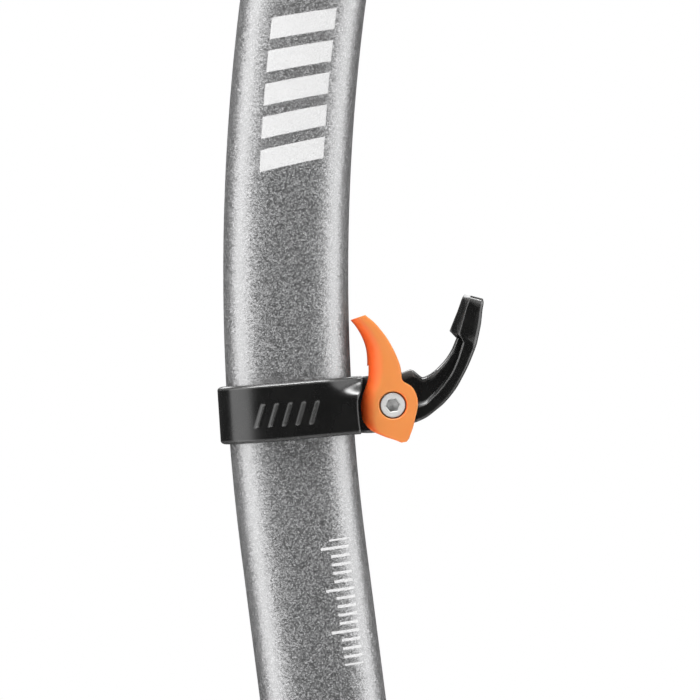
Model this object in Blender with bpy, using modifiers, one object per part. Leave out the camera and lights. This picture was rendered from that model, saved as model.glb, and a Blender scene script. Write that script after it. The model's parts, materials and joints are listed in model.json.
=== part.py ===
"""Ice axe with a curved tubular shaft and an adjustable finger rest.

Frame: the origin is the middle of the hand grip, +Z runs along the straight lower shaft
towards the head, +X points to the pick side, and Y is the axe's width. Metres throughout;
outlines are written in millimetres and scaled by MM.
"""
import math

import bmesh
import bpy
from mathutils import Matrix, Vector

MM = 0.001
GAP = 0.0003                     # clearance left between neighbouring pieces

# Shaft: a tube of rounded oval section, straight below, then an arc, then straight again
SHAFT_HALF_DEPTH = 0.0150        # along X, towards the pick
SHAFT_HALF_WIDTH = 0.01075       # along Y
SHAFT_WALL = 0.0020
SECTION_POWER = 2.6              # 2 is an ellipse, higher is squarer
SECTION_POINTS = 32
TUBE_FOOT_Z = -0.100
BEND_START_Z = 0.118
BEND_RADIUS = 0.514
BEND_LENGTH = 0.190
TOP_STRAIGHT = 0.045
BEND_STEPS = 16

# Hand grip and spike
GRIP_HALF_LENGTH = 0.070
GRIP_THICKNESS = 0.0023
SPIKE_HALF_THICKNESS = 0.0025
TANG_HALF_WIDTH = 0.0080
TANG_LENGTH = 0.034
SPIKE_RIVET_HEIGHTS = {"lower_spike_rivet": 0.010, "upper_spike_rivet": 0.022}
EYE_RADIUS = 0.0065
EYE_DROP = 0.019

# Rivets through the tube
RIVET_RADIUS = 0.0025
RIVET_HEAD_RADIUS = 0.0042
RIVET_HEAD_HEIGHT = 0.0012

# Head, in a frame at the top of the tube
HEAD_RIVET_HEIGHTS = {"upper_head_rivet": -0.014, "lower_head_rivet": -0.030}
STEM_LENGTH = 0.042
CHEEK_HALF_THICKNESS = 0.0072
BLADE_HALF_THICKNESS = 0.0020    # pick and adze tang
SLOT_START = 0.0080
SLOT_FLOOR = 0.0090
CLIP_HOLE_RADIUS = 0.0050
CLIP_BOSS_RADIUS = 0.0072        # raised ring round the clip hole
CLIP_BOSS_HALF_THICKNESS = 0.0078
BOLT_HEIGHT = 0.0230
PICK_BOLT_PLACES = {"rear_pick": 0.0140, "front_pick": 0.0270}
ADZE_BOLT_PLACES = {"front_adze": -0.0135, "rear_adze": -0.0260}
BOLT_RADIUS = 0.0030
BOLT_HEAD_RADIUS = 0.0052
NUT_RADIUS = 0.0057              # across corners
NUT_HEIGHT = 0.0045
PICK_TEETH = 15

# Finger rest, in a frame on the shaft's centreline at the middle of the collar
REST_HEIGHT = 0.0327             # along the bend, from its start
COLLAR_HALF_HEIGHT = 0.0070
COLLAR_WALL_X = 0.0018
COLLAR_WALL_Y = 0.00215
COLLAR_END_X = 0.0162            # the broad sides run straight on to here, past the tube
COLLAR_NARROWING = 0.0008        # and close in this much on each side
COLLAR_CORNER = 0.0006
SCOOP_DEPTH = 0.0036             # hollow in the collar's upper corners by the lug
SCOOP_START = (0.0080, 0.0016)   # X and Z where it begins
SCOOP_END = (0.0185, 0.0062)     # X and Z where it is deepest
LUG_HALF_THICKNESS = 0.0052
HOOK_HALF_THICKNESS = 0.0060
PIVOT_X = 0.02456
PIVOT_Z = -0.00033
LEVER_HALF_THICKNESS = 0.0089
FORK_RADIUS = 0.0102             # the slot between the cheeks ends on this arc
COUNTERBORE_RADIUS = 0.00325
COUNTERBORE_FLOOR = 0.0067
SCREW_HEAD_RADIUS = 0.00295
SCREW_HEAD_HEIGHT = 0.0018
SCREW_SHANK_RADIUS = 0.00125
SOCKET_RADIUS = 0.00167          # across corners
SOCKET_TURN = math.radians(5)
SLEEVE_RADIUS = 0.00242          # across corners
SLEEVE_HALF_LENGTH = 0.0066
SLEEVE_BORE = 0.00155
CAM_RADIUS = 0.0043
CAM_OFFSET = 0.0009
CAM_ANGLE = math.radians(40)     # above the direction of the shaft, with the lever shut
CAM_SPAN = (-0.0036, 0.0010)
POCKET_HALF_WIDTH = 0.0039
POCKET_RADIUS = 0.0054
SHOE_HALF_WIDTH = 0.0036
SHOE_HALF_HEIGHT = 0.0039
SPRING_RADIUS = 0.00315
SPRING_WIRE_RADIUS = 0.00025
SPRING_TURNS = 2.5
SPRING_SPAN = (0.0015, 0.0033)

# Outlines: X towards the pick, Z up the shaft, millimetres; True marks a sharp corner
LUG_OUTLINE = [
    (14.6, 6.7, True), (18.0, 6.95, False), (26.6, 7.1, False), (29.2, 7.8, False),
    (30.1, 7.5, False), (31.9, 5.9, True), (34.0, 4.2, True), (33.0, -2.4, True),
    (30.4, -4.5, True), (25.5, -6.35, False), (20.0, -6.7, False), (14.6, -6.3, True),
]
HOOK_OUTLINE = [
    (30.95, -4.5, True), (31.9, -0.3, False), (31.35, 3.2, False), (32.1, 5.85, True),
    (35.1, 7.05, False), (37.7, 9.35, False), (39.9, 12.4, False), (41.0, 14.65, True),
    (39.4, 16.45, True), (41.7, 21.3, False), (42.9, 24.2, False), (44.3, 25.0, False),
    (47.4, 23.7, False), (47.8, 22.0, False), (46.3, 15.2, False), (43.7, 8.8, False),
    (39.7, 2.3, False), (34.6, -2.4, False),
]
LEVER_OUTLINE = [
    (15.8, 20.6, True), (19.2, 21.6, False), (22.2, 18.6, False), (25.1, 14.1, False),
    (26.85, 9.4, False), (27.3, 5.2, True), (29.6, 3.5, False), (30.55, 0.0, False),
    (29.4, -4.85, False), (27.5, -9.0, False), (25.9, -9.35, False), (20.1, -6.75, False),
    (17.5, -3.6, False), (17.05, -1.0, False), (17.6, 2.0, False), (18.95, 5.2, False),
    (19.3, 11.0, False), (18.4, 16.2, False),
]
HEAD_OUTLINE = [
    (-15.0, 3.0, True), (-17.5, 10.0, False), (-30.0, 14.5, False), (-34.0, 22.5, False),
    (-30.0, 31.0, False), (-10.0, 36.0, False), (12.0, 37.0, False), (31.0, 35.0, False),
    (36.0, 27.0, False), (32.5, 16.5, False), (17.5, 10.0, False), (15.0, 3.0, True),
]
SPIKE_OUTLINE = [
    (-8.0, 34.0, True), (-8.0, -3.6, True), (-13.0, -5.5, False), (-14.0, -19.0, False),
    (-8.5, -33.0, False), (-1.2, -46.0, True), (1.2, -46.0, True), (8.5, -33.0, False),
    (14.0, -19.0, False), (13.0, -5.5, False), (8.0, -3.6, True), (8.0, 34.0, True),
]
# Pick: its back, then the two ends of its toothed edge with their handle between them
PICK_TAIL = [(8.3, 9.4), (8.3, 36.0)]
PICK_BACK = [(30.0, 34.6), (62.0, 33.2), (94.0, 27.5), (124.0, 16.0), (150.0, -0.5)]
PICK_TIP = (163.0, -14.0)
PICK_EDGE_HANDLE = (120.0, 12.0)
PICK_EDGE_END = (48.0, 10.0)
PICK_THROAT = [(36.0, 9.4)]
TOOTH_DEPTH = 2.6
# Adze stations: X, middle height, half width (Y), half thickness (Z), millimetres
ADZE_STATIONS = [
    (-8.3, 22.5, 2.0, 11.0), (-35.5, 22.5, 2.0, 8.5), (-40.0, 22.7, 3.2, 6.2),
    (-46.0, 23.2, 7.5, 4.0), (-53.0, 23.4, 14.5, 2.6), (-62.0, 21.6, 21.5, 2.0),
    (-74.0, 16.8, 25.5, 1.7), (-86.0, 9.6, 27.0, 1.0), (-90.0, 6.6, 27.0, 0.4),
]


# ---------------------------------------------------------------- scene and materials

def clear_scene():
    for old in list(bpy.data.objects):
        bpy.data.objects.remove(old)


def add_collection(name):
    collection = bpy.data.collections.new(name)
    bpy.context.scene.collection.children.link(collection)
    return collection


def material(name, colour, roughness, metallic=0.0):
    made = bpy.data.materials.new(name)
    made.use_nodes = True
    shader = made.node_tree.nodes["Principled BSDF"]
    shader.inputs["Base Color"].default_value = (*colour, 1.0)
    shader.inputs["Roughness"].default_value = roughness
    shader.inputs["Metallic"].default_value = metallic
    return made


def empty(name, location, parent=None, lean=0.0):
    made = bpy.data.objects.new(name, None)
    made.location = location
    made.rotation_euler = (0.0, lean, 0.0)
    made.parent = parent
    PARTS.objects.link(made)
    return made


def add_object(name, mesh, look, parent=None, location=(0.0, 0.0, 0.0)):
    """A sub-part with its own material, smooth except at its sharp edges."""
    made = bpy.data.objects.new(name, mesh)
    made.location = location
    made.parent = parent
    made.data.materials.clear()
    made.data.materials.append(look)
    mesh.shade_smooth()
    mesh.set_sharp_from_angle(angle=math.radians(35))
    PARTS.objects.link(made)
    return made


# ---------------------------------------------------------------- shape helpers

def oval(half_x, half_y):
    """Points of the shaft's rounded oval section, counter-clockwise from +X."""
    points = []
    for index in range(SECTION_POINTS):
        angle = 2 * math.pi * index / SECTION_POINTS
        cosine = math.cos(angle)
        sine = math.sin(angle)
        x = math.copysign(abs(cosine) ** (2 / SECTION_POWER), cosine)
        y = math.copysign(abs(sine) ** (2 / SECTION_POWER), sine)
        points.append((half_x * x, half_y * y))
    return points


def level_oval(half_x, half_y, z):
    return [Vector((x, y, z)) for x, y in oval(half_x, half_y)]


def loft(name, rings, closed_loop=False):
    """Skin through rings of equal point counts; a closed loop of rings makes a tube."""
    shape = bmesh.new()
    rows = [[shape.verts.new(point) for point in ring] for ring in rings]
    count = len(rows[0])
    pairs = list(zip(rows, rows[1:]))
    if closed_loop:
        pairs.append((rows[-1], rows[0]))
    for low, high in pairs:
        for index in range(count):
            after = (index + 1) % count
            shape.faces.new((low[index], low[after], high[after], high[index]))
    if not closed_loop:
        shape.faces.new(rows[0])
        shape.faces.new(rows[-1])
    bmesh.ops.recalc_face_normals(shape, faces=shape.faces)
    return finish_mesh(name, shape)


def finish_mesh(name, shape):
    mesh = bpy.data.meshes.new(name)
    shape.to_mesh(mesh)
    shape.free()
    return mesh


def outline_curve(name, corners, resolution):
    """Closed 2D curve through millimetre points, smooth except where a point is sharp."""
    curve = bpy.data.curves.new(name, "CURVE")
    curve.dimensions = "2D"
    curve.fill_mode = "BOTH"
    curve.resolution_u = resolution
    spline = curve.splines.new("BEZIER")
    spline.bezier_points.add(len(corners) - 1)
    spline.use_cyclic_u = True
    for point, (x, z, sharp) in zip(spline.bezier_points, corners):
        point.co = (x * MM, z * MM, 0.0)
        handle = "VECTOR" if sharp else "AUTO"
        point.handle_left_type = handle
        point.handle_right_type = handle
    return curve


def plate(name, corners, half_thickness, resolution=4):
    """Flat plate in the XZ plane, centred on Y = 0, from an outline in millimetres."""
    curve = outline_curve(name, corners, resolution)
    curve.extrude = half_thickness
    holder = bpy.data.objects.new(name, curve)
    bpy.context.scene.collection.objects.link(holder)
    evaluated = holder.evaluated_get(bpy.context.evaluated_depsgraph_get())
    mesh = bpy.data.meshes.new_from_object(evaluated)
    bpy.data.objects.remove(holder)
    shape = bmesh.new()
    shape.from_mesh(mesh)
    bmesh.ops.remove_doubles(shape, verts=shape.verts, dist=0.000001)
    bmesh.ops.dissolve_limit(
        shape, angle_limit=math.radians(0.5), verts=shape.verts, edges=shape.edges)
    bmesh.ops.transform(shape, matrix=Matrix.Rotation(math.pi / 2, 4, "X"), verts=shape.verts)
    bmesh.ops.recalc_face_normals(shape, faces=shape.faces)
    shape.to_mesh(mesh)
    shape.free()
    return mesh


def prism(name, radius, start, end, sides=24, centre=(0.0, 0.0), turn=0.0):
    """Round or polygonal bar along Y from start to end, at a centre given as X, Z."""
    shape = bmesh.new()
    bmesh.ops.create_cone(
        shape, cap_ends=True, segments=sides, radius1=radius, radius2=radius,
        depth=end - start)
    bmesh.ops.rotate(shape, matrix=Matrix.Rotation(turn, 3, "Z"), verts=shape.verts)
    bmesh.ops.transform(shape, matrix=Matrix.Rotation(math.pi / 2, 4, "X"), verts=shape.verts)
    bmesh.ops.translate(
        shape, vec=(centre[0], (start + end) / 2, centre[1]), verts=shape.verts)
    return finish_mesh(name, shape)


def box(name, low, high):
    shape = bmesh.new()
    bmesh.ops.create_cube(shape, size=1.0)
    size = [b - a for a, b in zip(low, high)]
    middle = [(a + b) / 2 for a, b in zip(low, high)]
    bmesh.ops.scale(shape, vec=size, verts=shape.verts)
    bmesh.ops.translate(shape, vec=middle, verts=shape.verts)
    return finish_mesh(name, shape)


def turned(name, profile, look, parent, location, steps=18):
    """Piece turned about its own Z axis, laid so that its top faces -Y."""
    mesh = bpy.data.meshes.new(name)
    points = [(radius, 0.0, height) for radius, height in profile]
    mesh.from_pydata(points, [(i, i + 1) for i in range(len(points) - 1)], [])
    made = add_object(name, mesh, look, parent, location)
    made.rotation_euler = (math.pi / 2, 0.0, 0.0)
    screw = made.modifiers.new("Turn", "SCREW")
    screw.steps = steps
    screw.render_steps = steps
    screw.use_merge_vertices = True
    screw.merge_threshold = 0.00001
    screw.use_smooth_shade = True
    return made


def round_edges(made, width, segments=2, angle=40):
    bevel = made.modifiers.new("Rounded edges", "BEVEL")
    bevel.width = width
    bevel.segments = segments
    bevel.limit_method = "ANGLE"
    bevel.angle_limit = math.radians(angle)


def combine(made, mesh, operation):
    """Join to, or cut from, a piece a shape given in the piece's parent frame."""
    other = bpy.data.objects.new(mesh.name, mesh)
    other.parent = made.parent
    other.hide_render = True
    other.display_type = "WIRE"
    CUTTERS.objects.link(other)
    boolean = made.modifiers.new(mesh.name, "BOOLEAN")
    boolean.operation = operation
    boolean.object = other
    boolean.solver = "EXACT"


def cut(made, mesh):
    combine(made, mesh, "DIFFERENCE")


def join(made, mesh):
    combine(made, mesh, "UNION")


# ---------------------------------------------------------------- shaft, grip and spike

def shaft_station(distance):
    """Place and lean of the centreline at a distance along it from the bend's start."""
    along_bend = min(max(distance, 0.0), BEND_LENGTH)
    lean = along_bend / BEND_RADIUS
    straight = distance - along_bend
    x = BEND_RADIUS * (1 - math.cos(lean)) + straight * math.sin(lean)
    z = BEND_START_Z + BEND_RADIUS * math.sin(lean) + straight * math.cos(lean)
    return Vector((x, 0.0, z)), lean


def shaft_ring(distance, half_x, half_y):
    centre, lean = shaft_station(distance)
    across = Vector((math.cos(lean), 0.0, -math.sin(lean)))
    return [centre + across * x + Vector((0.0, y, 0.0)) for x, y in oval(half_x, half_y)]


def rivet_hole(height):
    return prism("rivet_hole", RIVET_RADIUS + GAP, -0.02, 0.02, 16, (0.0, height))


def build_shaft():
    distances = [TUBE_FOOT_Z - BEND_START_Z]
    distances += [BEND_LENGTH * step / BEND_STEPS for step in range(BEND_STEPS + 1)]
    distances.append(BEND_LENGTH + TOP_STRAIGHT)
    outer = [shaft_ring(at, SHAFT_HALF_DEPTH, SHAFT_HALF_WIDTH) for at in distances]
    inner_x = SHAFT_HALF_DEPTH - SHAFT_WALL
    inner_y = SHAFT_HALF_WIDTH - SHAFT_WALL
    inner = [shaft_ring(at, inner_x, inner_y) for at in reversed(distances)]
    tube = add_object("shaft_tube", loft("shaft_tube", outer + inner, True), SHAFT_LOOK)
    for height in SPIKE_RIVET_HEIGHTS.values():
        cut(tube, rivet_hole(TUBE_FOOT_Z + height))
    for height in HEAD_RIVET_HEIGHTS.values():
        hole = rivet_hole(height)
        hole.transform(HEAD.matrix_world)
        cut(tube, hole)


def build_grip():
    """Rubber sleeve with a raised bead at its top and a flared foot."""
    inner_x = SHAFT_HALF_DEPTH + GAP
    inner_y = SHAFT_HALF_WIDTH + GAP
    half = GRIP_HALF_LENGTH
    swell = [(-half, 0.0030), (-half + 0.004, 0.0042), (-half + 0.012, 0.0030),
             (-half + 0.022, 0.0), (half - 0.010, 0.0), (half - 0.005, 0.0009),
             (half - 0.0015, 0.0006), (half, -0.0006)]
    outer = []
    for z, extra in swell:
        thickness = GRIP_THICKNESS + extra
        outer.append(level_oval(inner_x + thickness, inner_y + thickness, z))
    inner = [level_oval(inner_x, inner_y, half), level_oval(inner_x, inner_y, -half)]
    add_object("grip_sleeve", loft("grip_sleeve", outer + inner, True), RUBBER_LOOK)


def build_end_plug():
    """Plug closing the foot of the tube, with a slot for the spike's tang."""
    fit_x = SHAFT_HALF_DEPTH - SHAFT_WALL - GAP
    fit_y = SHAFT_HALF_WIDTH - SHAFT_WALL - GAP
    rings = [
        level_oval(SHAFT_HALF_DEPTH - 0.001, SHAFT_HALF_WIDTH - 0.001, -0.0033),
        level_oval(SHAFT_HALF_DEPTH, SHAFT_HALF_WIDTH, -0.0023),
        level_oval(SHAFT_HALF_DEPTH, SHAFT_HALF_WIDTH, -GAP),
        level_oval(fit_x, fit_y, -GAP),
        level_oval(fit_x, fit_y, TANG_LENGTH + 0.002),
    ]
    plug = add_object("shaft_end_plug", loft("shaft_end_plug", rings), BLACK_LOOK, FOOT)
    slot_x = TANG_HALF_WIDTH + GAP
    slot_y = SPIKE_HALF_THICKNESS + GAP
    cut(plug, box("tang_slot", (-slot_x, -slot_y, -0.01), (slot_x, slot_y, 0.05)))
    for height in SPIKE_RIVET_HEIGHTS.values():
        cut(plug, rivet_hole(height))


def build_spike():
    mesh = plate("spike", SPIKE_OUTLINE, SPIKE_HALF_THICKNESS)
    spike = add_object("spike", mesh, STEEL_LOOK, FOOT)
    round_edges(spike, 0.0006, 1)
    cut(spike, prism("spike_eye", EYE_RADIUS, -0.01, 0.01, 28, (0.0, -EYE_DROP)))
    for height in SPIKE_RIVET_HEIGHTS.values():
        cut(spike, rivet_hole(height))


def build_rivet(name, parent, height):
    """Rivet right through the shaft, with a low domed head at each side."""
    seat = SHAFT_HALF_WIDTH + GAP
    top = seat + RIVET_HEAD_HEIGHT
    upper = [(0.0, top), (RIVET_HEAD_RADIUS * 0.7, top - 0.0002),
             (RIVET_HEAD_RADIUS, seat + 0.0003), (RIVET_HEAD_RADIUS, seat),
             (RIVET_RADIUS, seat)]
    lower = [(radius, -z) for radius, z in reversed(upper)]
    turned(name, upper + lower, STEEL_LOOK, parent, (0.0, 0.0, height), 20)


# ---------------------------------------------------------------- head

def build_head_body():
    """Forged head: tang in the tube, shoulder on its end, and two slotted cheeks."""
    fit_x = SHAFT_HALF_DEPTH - SHAFT_WALL - GAP
    fit_y = SHAFT_HALF_WIDTH - SHAFT_WALL - GAP
    rings = [
        level_oval(fit_x - 0.0008, fit_y - 0.0008, -STEM_LENGTH),
        level_oval(fit_x, fit_y, -STEM_LENGTH + 0.001),
        level_oval(fit_x, fit_y, GAP),
        level_oval(SHAFT_HALF_DEPTH, SHAFT_HALF_WIDTH, GAP),
        level_oval(SHAFT_HALF_DEPTH + 0.0003, SHAFT_HALF_WIDTH, 0.0045),
        level_oval(SHAFT_HALF_DEPTH + 0.0015, CHEEK_HALF_THICKNESS + 0.0006, 0.0125),
        level_oval(SHAFT_HALF_DEPTH - 0.0010, CHEEK_HALF_THICKNESS - 0.0006, 0.0170),
    ]
    mesh = plate("head_body", HEAD_OUTLINE, CHEEK_HALF_THICKNESS)
    head = add_object("head_body", mesh, STEEL_LOOK, HEAD)
    round_edges(head, 0.0014, 2)
    join(head, loft("head_stem", rings))
    join(head, prism("clip_boss", CLIP_BOSS_RADIUS, -CLIP_BOSS_HALF_THICKNESS,
                     CLIP_BOSS_HALF_THICKNESS, 32, (0.0, BOLT_HEIGHT)))
    slot_y = BLADE_HALF_THICKNESS + GAP
    cut(head, box("pick_slot", (SLOT_START, -slot_y, SLOT_FLOOR), (0.06, slot_y, 0.06)))
    cut(head, box("adze_slot", (-0.06, -slot_y, SLOT_FLOOR), (-SLOT_START, slot_y, 0.06)))
    cut(head, prism("clip_hole", CLIP_HOLE_RADIUS, -0.02, 0.02, 24, (0.0, BOLT_HEIGHT)))
    for x in [*PICK_BOLT_PLACES.values(), *ADZE_BOLT_PLACES.values()]:
        cut(head, bolt_hole(x))
    for height in HEAD_RIVET_HEIGHTS.values():
        cut(head, rivet_hole(height))


def bolt_hole(x):
    return prism("bolt_hole", BOLT_RADIUS + GAP, -0.02, 0.02, 16, (x, BOLT_HEIGHT))


def toothed_edge():
    """Lower edge of the pick, from its tip back to its throat, with sawtooth teeth."""
    start = Vector(PICK_TIP)
    handle = Vector(PICK_EDGE_HANDLE)
    end = Vector(PICK_EDGE_END)
    corners = []
    for tooth in range(PICK_TEETH):
        along = (tooth + 0.5) / PICK_TEETH
        peak_along = (tooth + 1.0) / PICK_TEETH
        valley = start.lerp(handle, along).lerp(handle.lerp(end, along), along)
        peak = start.lerp(handle, peak_along).lerp(handle.lerp(end, peak_along), peak_along)
        corners.append((valley.x - 1.5, valley.y + TOOTH_DEPTH, True))
        corners.append((peak.x, peak.y, True))
    return corners


def build_pick():
    corners = [(x, z, True) for x, z in PICK_TAIL]
    corners += [(x, z, False) for x, z in PICK_BACK]
    corners.append((*PICK_TIP, True))
    corners += toothed_edge()
    corners += [(x, z, True) for x, z in PICK_THROAT]
    pick = add_object("pick", plate("pick", corners, BLADE_HALF_THICKNESS), STEEL_LOOK, HEAD)
    for x in PICK_BOLT_PLACES.values():
        cut(pick, bolt_hole(x))


def adze_ring(x, middle, half_width, half_thickness):
    """Eight-sided section of the adze, with cut corners."""
    corner = 0.35 * min(half_width, half_thickness)
    width = half_width - corner
    thick = half_thickness - corner
    sides = [(half_width, thick), (width, half_thickness), (-width, half_thickness),
             (-half_width, thick), (-half_width, -thick), (-width, -half_thickness),
             (width, -half_thickness), (half_width, -thick)]
    return [Vector((x, y, middle + z)) * MM for y, z in sides]


def build_adze():
    """Upright tang in the rear slot, flaring into a broad blade that droops."""
    rings = [adze_ring(*station) for station in ADZE_STATIONS]
    adze = add_object("adze", loft("adze", rings), STEEL_LOOK, HEAD)
    for x in ADZE_BOLT_PLACES.values():
        cut(adze, bolt_hole(x))


def build_bolt(name, x):
    """Button-headed bolt through both cheeks, its head on the -Y side."""
    seat = CHEEK_HALF_THICKNESS + GAP
    tip = -(seat + NUT_HEIGHT + 0.0008)
    profile = [(0.0, seat + 0.0028), (BOLT_HEAD_RADIUS * 0.55, seat + 0.0026),
               (BOLT_HEAD_RADIUS * 0.88, seat + 0.0016), (BOLT_HEAD_RADIUS, seat + 0.0006),
               (BOLT_HEAD_RADIUS, seat), (BOLT_RADIUS, seat), (BOLT_RADIUS, tip + 0.0006),
               (BOLT_RADIUS - 0.0006, tip), (0.0, tip)]
    bolt = turned(name + "_bolt", profile, STEEL_LOOK, HEAD, (x, 0.0, BOLT_HEIGHT))
    top = -(seat + 0.0028)
    cut(bolt, prism("bolt_socket", 0.0023, top - 0.001, top + 0.0019, 6, (x, BOLT_HEIGHT)))


def build_nut(name, x):
    start = CHEEK_HALF_THICKNESS + GAP
    mesh = prism(name + "_nut", NUT_RADIUS, start, start + NUT_HEIGHT, 6, (x, BOLT_HEIGHT))
    nut = add_object(name + "_nut", mesh, STEEL_LOOK, HEAD)
    round_edges(nut, 0.0004, 1)
    cut(nut, bolt_hole(x))


# ---------------------------------------------------------------- finger rest

def smooth_share(value, start, end):
    """0 before the start, 1 after the end, and an even rise without a kink between them."""
    share = min(max((value - start) / (end - start), 0.0), 1.0)
    return share * share * (3 - 2 * share)


def collar_front(half_width, end_x, z):
    """Plan of one front quarter of the collar, from its broad side round to the lug."""
    end_width = half_width - COLLAR_NARROWING
    straight = end_x - COLLAR_CORNER
    points = []
    for share in (0.0, 0.25, 0.5, 0.7, 0.86, 1.0):
        points.append((straight * share, half_width - COLLAR_NARROWING * share ** 2))
    points.append((end_x, end_width - COLLAR_CORNER))
    points.append((end_x, end_width / 2))
    points.append((end_x, 0.0))
    scooped = []
    for x, y in points:
        depth = (SCOOP_DEPTH * smooth_share(x, SCOOP_START[0], SCOOP_END[0])
                 * smooth_share(z, SCOOP_START[1], SCOOP_END[1]))
        scooped.append((x, y * (1 - depth / end_width)))
    return scooped


def collar_ring(z, inset):
    """Outer outline of the collar: oval at the back, flat-sided and blunt at the front."""
    half_x = SHAFT_HALF_DEPTH + GAP + COLLAR_WALL_X - inset
    half_y = SHAFT_HALF_WIDTH + GAP + COLLAR_WALL_Y - inset
    quarter = SECTION_POINTS // 4
    front = collar_front(half_y, COLLAR_END_X - 0.3 * inset, z)
    back = oval(half_x, half_y)[quarter + 1:3 * quarter]
    plan = front[::-1] + back + [(x, -y) for x, y in front[:-1]]
    return [Vector((x, y, z)) for x, y in plan]


def collar_mesh(inner_x, inner_y):
    """Band round the shaft with rounded rims."""
    half = COLLAR_HALF_HEIGHT
    rows = [(-half, 0.0013), (-half + 0.0004, 0.0005), (-half + 0.0012, 0.0),
            (SCOOP_START[1], 0.0), (0.0030, 0.0), (0.0044, 0.0),
            (half - 0.0012, 0.0), (half - 0.0004, 0.0005), (half, 0.0013)]
    rings = [collar_ring(z, inset) for z, inset in rows]
    rings += [level_oval(inner_x, inner_y, half), level_oval(inner_x, inner_y, -half)]
    return loft("rest_body", rings, True)


def build_rest_body():
    """Collar round the shaft, lug with the cam's pocket, and the upturned finger hook."""
    inner_x = SHAFT_HALF_DEPTH + GAP
    inner_y = SHAFT_HALF_WIDTH + GAP
    rest = add_object("rest_body", collar_mesh(inner_x, inner_y), BLACK_LOOK, REST)
    join(rest, plate("rest_lug", LUG_OUTLINE, LUG_HALF_THICKNESS, 3))
    hook = plate("rest_hook", HOOK_OUTLINE, HOOK_HALF_THICKNESS)
    join(rest, bevelled(hook, 0.0013))
    cut(rest, loft("shaft_space", [level_oval(inner_x, inner_y, -0.008),
                                   level_oval(inner_x, inner_y, 0.008)]))
    wide = POCKET_HALF_WIDTH
    tall = SHOE_HALF_HEIGHT + 0.0004
    cut(rest, box("shoe_channel", (0.0140, -wide, PIVOT_Z - tall),
                  (PIVOT_X, wide, PIVOT_Z + tall)))
    cut(rest, pivot_bar("cam_pocket", POCKET_RADIUS, -wide, wide, 28))
    cut(rest, pivot_bar("sleeve_bore", SLEEVE_RADIUS + 0.00033, -0.01, 0.01, 20))


def bevelled(mesh, width):
    """The mesh with its outer edges rounded, for use in a Boolean."""
    shape = bmesh.new()
    shape.from_mesh(mesh)
    rims = [edge for edge in shape.edges if edge.calc_face_angle(0.0) > math.radians(60)
            and abs(edge.verts[0].co.y - edge.verts[1].co.y) < 0.000001]
    bmesh.ops.bevel(shape, geom=rims, offset=width, segments=2, profile=0.5,
                    affect="EDGES", clamp_overlap=False)
    shape.to_mesh(mesh)
    shape.free()
    return mesh


def pivot_bar(name, radius, start, end, sides, turn=0.0):
    return prism(name, radius, start, end, sides, (PIVOT_X, PIVOT_Z), turn)


def lever_bar(name, radius, start, end, sides, turn=0.0):
    """Bar on the pivot's axis, in the trigger's own frame."""
    return prism(name, radius, start, end, sides, (0.0, 0.0), turn)


def build_lever():
    """Finger lever whose lower end is a fork that straddles the lug."""
    corners = [(x - PIVOT_X / MM, z - PIVOT_Z / MM, sharp) for x, z, sharp in LEVER_OUTLINE]
    mesh = plate("trigger_lever", corners, LEVER_HALF_THICKNESS)
    lever = add_object("trigger_lever", mesh, ORANGE_LOOK, TRIGGER)
    round_edges(lever, 0.0008, 2)
    slot = LUG_HALF_THICKNESS + GAP
    cut(lever, lever_bar("fork_slot", FORK_RADIUS, -slot, slot, 48))
    outside = LEVER_HALF_THICKNESS + 0.001
    cut(lever, lever_bar("near_counterbore", COUNTERBORE_RADIUS, -outside,
                         -COUNTERBORE_FLOOR, 28))
    cut(lever, lever_bar("far_counterbore", COUNTERBORE_RADIUS, COUNTERBORE_FLOOR,
                         outside, 28))
    cut(lever, lever_bar("sleeve_socket", SLEEVE_RADIUS + 0.00035, -outside, outside, 6))


def build_pivot_screw():
    under = COUNTERBORE_FLOOR + GAP / 2
    top = under + SCREW_HEAD_HEIGHT
    profile = [(0.0, top), (SCREW_HEAD_RADIUS - 0.0003, top),
               (SCREW_HEAD_RADIUS, top - 0.0003), (SCREW_HEAD_RADIUS, under),
               (SCREW_SHANK_RADIUS, under), (SCREW_SHANK_RADIUS, -0.0080), (0.0, -0.0080)]
    screw = turned("pivot_screw", profile, BRIGHT_LOOK, TRIGGER, (0.0, 0.0, 0.0), 28)
    cut(screw, lever_bar("screw_socket", SOCKET_RADIUS, -top - 0.001, -top + 0.0012, 6,
                         SOCKET_TURN))


def build_pivot_nut():
    start = COUNTERBORE_FLOOR + GAP / 2
    mesh = lever_bar("pivot_nut", SCREW_HEAD_RADIUS, start, start + SCREW_HEAD_HEIGHT, 28)
    nut = add_object("pivot_nut", mesh, BRIGHT_LOOK, TRIGGER)
    round_edges(nut, 0.0003, 1)
    cut(nut, lever_bar("nut_bore", SLEEVE_BORE, 0.0, 0.01, 16))


def build_pivot_sleeve():
    half = SLEEVE_HALF_LENGTH
    mesh = lever_bar("pivot_sleeve", SLEEVE_RADIUS, -half, half, 6)
    sleeve = add_object("pivot_sleeve", mesh, STEEL_LOOK, TRIGGER)
    cut(sleeve, lever_bar("sleeve_hole", SLEEVE_BORE, -0.01, 0.01, 16))


def build_clamp_cam():
    centre = (-CAM_OFFSET * math.cos(CAM_ANGLE), CAM_OFFSET * math.sin(CAM_ANGLE))
    mesh = prism("clamp_cam", CAM_RADIUS, *CAM_SPAN, 32, centre)
    cam = add_object("clamp_cam", mesh, STEEL_LOOK, TRIGGER)
    cut(cam, lever_bar("cam_hole", SLEEVE_RADIUS + 0.00035, -0.01, 0.01, 6))


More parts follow.
